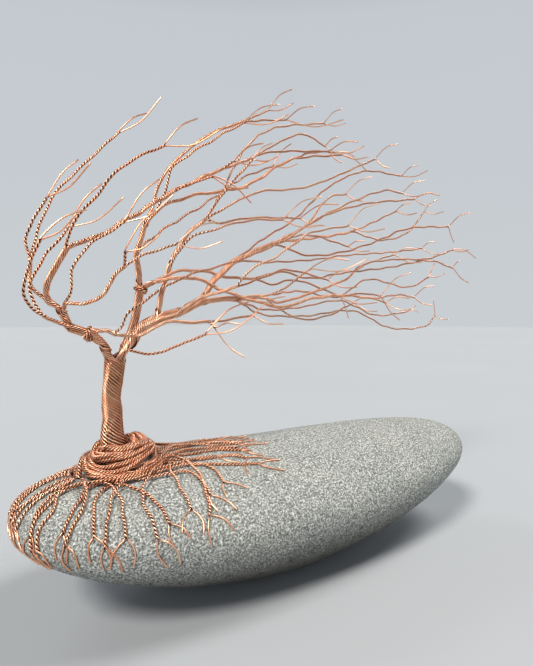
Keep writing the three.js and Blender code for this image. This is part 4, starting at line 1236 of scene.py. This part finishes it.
def pebble_points():
    """Rings of points from end to end, closer together towards the ends, and the two end points."""
    t = -np.cos(np.linspace(0, math.pi, PEBBLE_RINGS + 1))[1:-1]
    angle = np.linspace(0, 2 * math.pi, PEBBLE_ROUND, endpoint=False)
    half, waist, above, below = pebble_section(t)
    up = np.sin(angle)[None]
    z = waist[:, None] + up * np.where(up > 0, above[:, None], below[:, None])
    x = np.repeat((t * STONE_LENGTH / 2)[:, None], PEBBLE_ROUND, axis=1)
    y = np.cos(angle)[None] * half[:, None]
    points = np.stack([x, y, np.maximum(z, 0)], axis=2).reshape(-1, 3)
    ends = np.array([[-STONE_LENGTH / 2, 0, pebble_section(np.array(-1.0))[1]],
                     [STONE_LENGTH / 2, 0, pebble_section(np.array(1.0))[1]]])
    return np.vstack([points, ends])


def pitting(p):
    """How far the surface stands out at a place, or is sunk if negative, in mm."""
    v = Vector(p)
    edge = math.exp(-((p[2] - 15) / 6.0) ** 2) * (0.45 + 0.55 * (p[1] < 0))
    fine = noise.noise(v / 0.9) * 0.05
    hollows = noise.noise(v / 2.6 + Vector((9, 2, 5)))
    broad = noise.noise(v / 14 + Vector((3, 1, 7))) * 0.16
    pits = max(0.0, noise.noise(v / 1.7 + Vector((1, 8, 2))) - 0.2) * (0.3 + 2.2 * edge)
    return fine + 0.06 * hollows + broad - pits - 0.45 * edge * abs(hollows)


def pebble_faces():
    """Four-sided faces between the rings, and a fan of triangles at each end."""
    rings = PEBBLE_RINGS - 1
    faces = []
    for i in range(rings - 1):
        a, b = i * PEBBLE_ROUND, (i + 1) * PEBBLE_ROUND
        for k in range(PEBBLE_ROUND):
            n = (k + 1) % PEBBLE_ROUND
            faces.append((a + k, a + n, b + n, b + k))
    first, last = rings * PEBBLE_ROUND, rings * PEBBLE_ROUND + 1
    end = (rings - 1) * PEBBLE_ROUND
    for k in range(PEBBLE_ROUND):
        n = (k + 1) % PEBBLE_ROUND
        faces.append((first, n, k))
        faces.append((last, end + k, end + n))
    return faces


def make_pebble():
    points = pebble_points()
    inside = np.clip(points, -STONE_LENGTH / 2 + 0.3, STONE_LENGTH / 2 - 0.3)
    relief = np.array([pitting(p) for p in points])
    relief[points[:, 2] <= 0.001] = 0
    points = points + pebble_normal(inside) * relief[:, None]
    points[:, 2] = np.maximum(points[:, 2], 0)
    mesh = bpy.data.meshes.new("pebble")
    mesh.from_pydata((points * MM).tolist(), [], pebble_faces())
    mesh.shade_smooth()
    thing = bpy.data.objects.new("pebble", mesh)
    bpy.context.scene.collection.objects.link(thing)
    return thing


print("the pebble has", PEBBLE_RINGS - 1, "rings of", PEBBLE_ROUND, "points")

# %% [markdown]
# ## Grey stone
# A fine-grained sandstone: pale and dark grains about half a millimetre across, on a ground that
# drifts between a cooler and a yellower grey. The belly is painted darker and browner, as painted shade for
# the underside, which the light from above misses.

# %% Stone finish
# painted shade: between these heights the stone's colour darkens downwards, for the shadow on its underside
SHADE_TOP, SHADE_FULL = 27, 8  # heights between which the stone darkens downwards


def grey_stone():
    material, tree, shader = new_material("water-worn grey stone")
    place = add_node(tree, "ShaderNodeTexCoord").outputs["Object"]
    grains = add_node(tree, "ShaderNodeTexNoise",
                      {"Vector": place, "Scale": 1700.0, "Detail": 3.0, "Roughness": 0.8})
    speckle = ramp(tree, grains.outputs["Fac"],
                   (0.37, "272826"), (0.46, "6a6c67"), (0.54, "a1a39d"), (0.64, "eceee9"))
    drift = add_node(tree, "ShaderNodeTexNoise", {"Vector": place, "Scale": 45.0, "Detail": 3.0})
    ground = ramp(tree, drift.outputs["Fac"], (0.35, "888e8d"), (0.7, "a4a49b"))
    mixed = add_node(tree, "ShaderNodeMix", {"Factor": 0.8, MIX_A: ground, MIX_B: speckle},
                     data_type="RGBA")
    # painted shade on the underside: lower down, the colour is mixed towards a dark grey-brown
    apart = add_node(tree, "ShaderNodeSeparateXYZ", {"Vector": place})
    belly = add_node(tree, "ShaderNodeMapRange",
                     {"Value": apart.outputs["Z"], "From Min": SHADE_TOP * MM, "From Max": SHADE_FULL * MM},
                     interpolation_type="SMOOTHSTEP")
    under = add_node(tree, "ShaderNodeMix",
                     {"Factor": belly.outputs[0], MIX_A: mixed.outputs[MIX_RESULT],
                      MIX_B: colour("302f2b")}, data_type="RGBA")
    tree.links.new(under.outputs[MIX_RESULT], shader.inputs["Base Color"])
    bump = add_node(tree, "ShaderNodeBump",
                    {"Height": grains.outputs["Fac"], "Distance": 0.00015, "Strength": 0.6})
    tree.links.new(bump.outputs["Normal"], shader.inputs["Normal"])
    rough = add_node(tree, "ShaderNodeMapRange",
                     {"Value": grains.outputs["Fac"], "To Min": 0.95, "To Max": 0.75})
    tree.links.new(rough.outputs[0], shader.inputs["Roughness"])
    return material


pebble = make_pebble()
pebble.data.materials.append(grey_stone())
finish_piece(pebble, ["stone"])

# %% [markdown]
# ## Floor and light
# A plain pale floor under three soft lights: the strongest high on the left in front, as a window
# gives, a second overhead from the right so that the shaded side is not lost, and a faint one from
# behind. The surroundings are pale low down and darker overhead: a thin bright wire is read by the
# darker things that it mirrors.

# %% Floor and light
def plain_floor():
    bpy.ops.mesh.primitive_circle_add(vertices=96, radius=2.5, fill_type="NGON")
    floor = bpy.context.object
    floor.name = "floor"
    material, tree, shader = new_material("plain floor")
    place = add_node(tree, "ShaderNodeTexCoord").outputs["Object"]
    haze = add_node(tree, "ShaderNodeTexNoise", {"Vector": place, "Scale": 4.0})
    tint = ramp(tree, haze.outputs["Fac"], (0.3, "a5a9ac"), (0.7, "a8abae"))
    tree.links.new(tint, shader.inputs["Base Color"])
    shader.inputs["Roughness"].default_value = 0.8
    floor.data.materials.append(material)


def soft_sun(name, toward, spread, strength, tint):
    """A sun that shines from a direction, as wide in the sky as `spread` degrees."""
    data = bpy.data.lights.new(name, "SUN")
    data.angle = math.radians(spread)
    data.energy = strength
    data.color = colour(tint)[:3]
    light = bpy.data.objects.new(name, data)
    light.rotation_euler = Vector(toward).to_track_quat("Z", "Y").to_euler()
    bpy.context.scene.collection.objects.link(light)


def surroundings():
    """A studio that is pale round the horizon and darker overhead."""
    world = bpy.data.worlds.new("studio")
    bpy.context.scene.world = world
    world.use_nodes = True
    tree = world.node_tree
    tree.nodes.clear()
    way = add_node(tree, "ShaderNodeTexCoord").outputs["Generated"]
    apart = add_node(tree, "ShaderNodeSeparateXYZ", {"Vector": way})
    tint = ramp(tree, apart.outputs["Z"], (0.0, "c9ced2"), (0.48, "c3c9cf"), (0.8, "45484c"))
    back = add_node(tree, "ShaderNodeBackground", {"Color": tint, "Strength": 1.0})
    add_node(tree, "ShaderNodeOutputWorld", {"Surface": back.outputs[0]})


plain_floor()
surroundings()
soft_sun("window", (-0.62, -0.32, 0.72), 14.0, 3.1, "fffaf4")
soft_sun("ceiling", (0.52, -0.16, 0.84), 22.0, 2.0, "fffdfa")
soft_sun("light from behind", (-0.2, 0.8, 0.6), 20.0, 0.5, "f4f8ff")
bpy.context.scene.view_settings.view_transform = "Standard"
print("lights:", [light.name for light in bpy.data.lights])

# %% [markdown]
# A helper that turns a box's corners into plain lists of numbers.

# %% Box corners
def plain(box):
    return [[float(v) for v in corner] for corner in box]
